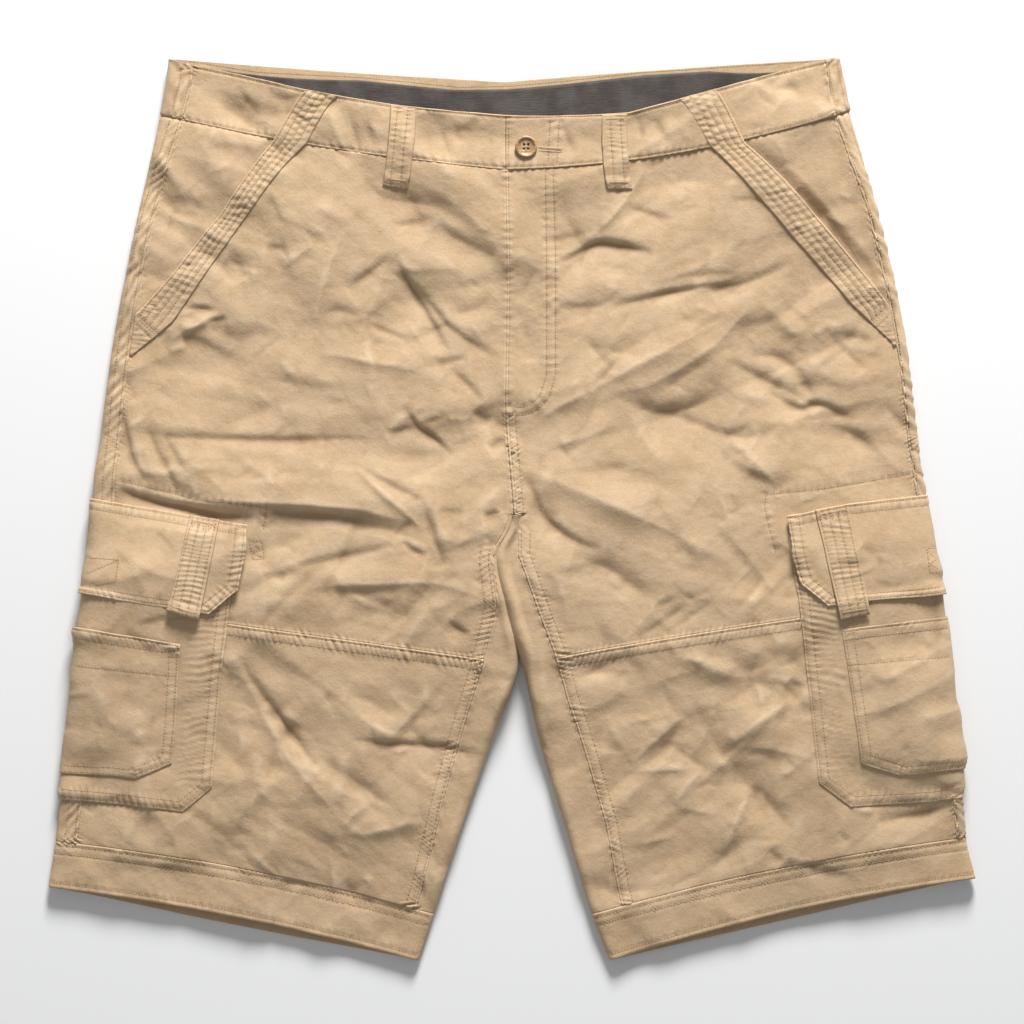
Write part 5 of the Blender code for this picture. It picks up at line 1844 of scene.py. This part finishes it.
def buttonPiece(size):
    radius, height, rim, floor = size["radius"], size["height"], size["rim"], size["floor"]
    inner = radius - rim
    # the outline from the middle of the dish, over the rim and in under the foot
    outline = (
        (0, floor - 0.15),
        (inner * 0.6, floor - 0.1),
        (inner - 0.5, floor + 0.1),
        (inner - 0.05, height - 0.35),
        (inner + 0.35, height - 0.06),
        (inner + rim * 0.5, height),
        (radius - 0.5, height - 0.2),
        (radius - 0.12, height - 0.65),
        (radius, height - 1.2),
        (radius - 0.15, 0.9),
        (radius - 0.8, 0.3),
        (radius - 2.0, 0),
        (0, 0),
    )
    shape = bmesh.new()
    corners = [shape.verts.new((x * mm, 0, z * mm)) for x, z in outline]
    for first, last in zip(corners, corners[1:]):
        shape.edges.new((first, last))
    turn = {"cent": (0, 0, 0), "axis": (0, 0, 1), "angle": 2 * math.pi, "steps": size["steps"]}
    bmesh.ops.spin(shape, geom=shape.verts[:] + shape.edges[:], use_merge=True, **turn)
    bmesh.ops.remove_doubles(shape, verts=shape.verts, dist=1e-6)
    bmesh.ops.recalc_face_normals(shape, faces=shape.faces)
    return objectOf("button_resin", shape, resinFinish, smooth=True)


def holeCutter(size):
    shape = bmesh.new()
    radius = size["holeRadius"] * mm
    drill = {"radius1": radius, "radius2": radius, "depth": 12 * mm, "segments": 20}
    for k in range(size["holes"]):
        angle = 2 * math.pi * (k + 0.5) / size["holes"]
        made = bmesh.ops.create_cone(shape, cap_ends=True, **drill)
        shift = Vector((math.cos(angle), math.sin(angle), 0)) * size["holeCircle"] * mm
        bmesh.ops.translate(shape, verts=made["verts"], vec=shift)
    return objectOf("button holes", shape)


button, cutter = buttonPiece(buttonSize), holeCutter(buttonSize)
drilled = button.modifiers.new("holes", "BOOLEAN")
drilled.operation = "DIFFERENCE"
drilled.solver = "EXACT"
drilled.object = cutter
graph = bpy.context.evaluated_depsgraph_get()
drilledMesh = bpy.data.meshes.new_from_object(button.evaluated_get(graph))
button.modifiers.clear()
button.data = drilledMesh
bpy.data.objects.remove(cutter)
buttonX, buttonY = buttonSize["place"]
_, seat, _ = topmost(buttonX + buttonSize["seatAside"], buttonY)
buttonPlace = Vector((buttonX * mm, buttonY * mm, seat.z + buttonSize["gap"] * mm))
button.data.transform(Matrix.Translation(buttonPlace))
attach(button, "root")
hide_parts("button")

for piece, beneath, *sizes in cuts:
    ends = ("",) if len(sizes) == 1 else ("_left", "_right")
    for end, (width, length, area) in zip(ends, sizes):
        name, below = piece + end, tuple(node + end for node in beneath)

print("floor, light and camera")

floorLook = {"albedo": 0.8, "size": 4, "drop": 0.3}
floorShape = bmesh.new()
bmesh.ops.create_grid(floorShape, x_segments=1, y_segments=1, size=floorLook["size"])
bmesh.ops.translate(floorShape, verts=floorShape.verts, vec=(0, 0, -floorLook["drop"] * mm))
paper = Finish("white floor", Base_Color=(floorLook["albedo"],) * 3 + (1,), Roughness=1.0)
floor = objectOf("floor", floorShape, paper.material)

lights = {  # place in metres, size, power in watts
    "key": ((0.4, 3.3, 1.5), 1.1, 268),
    "fill": ((-0.6, -1.6, 2.6), 2.4, 8),
}
for name, (place, size, power) in lights.items():
    lamp = bpy.data.lights.new(name, "AREA")
    lamp.shape = "DISK"
    lamp.size = size
    lamp.energy = power
    light = bpy.data.objects.new(name, lamp)
    light.location = place
    light.rotation_euler = (-Vector(place)).to_track_quat("-Z", "Y").to_euler()
    scene.collection.objects.link(light)
world = bpy.data.worlds.new("studio")
world.use_nodes = True
background = world.node_tree.nodes["Background"]
for name, value in {"Color": (0.97, 0.985, 1.0, 1), "Strength": 0.28}.items():
    background.inputs[name].default_value = value
scene.world = world
scene.view_settings.view_transform = "Standard"

# The camera hangs this high, in metres, and the frame is as wide as this at the top of the cloth.
view = {"height": 3.0, "frame": 0.7987, "clothTop": 0.0135, "centre": (0, -0.0016), "sensor": 36}
lens = bpy.data.cameras.new("straight down")
lens.sensor_width = view["sensor"]
lens.lens = view["sensor"] * (view["height"] - view["clothTop"]) / view["frame"]
camera = bpy.data.objects.new("straight down", lens)
camera.location = (*view["centre"], view["height"])
scene.collection.objects.link(camera)
scene.camera = camera
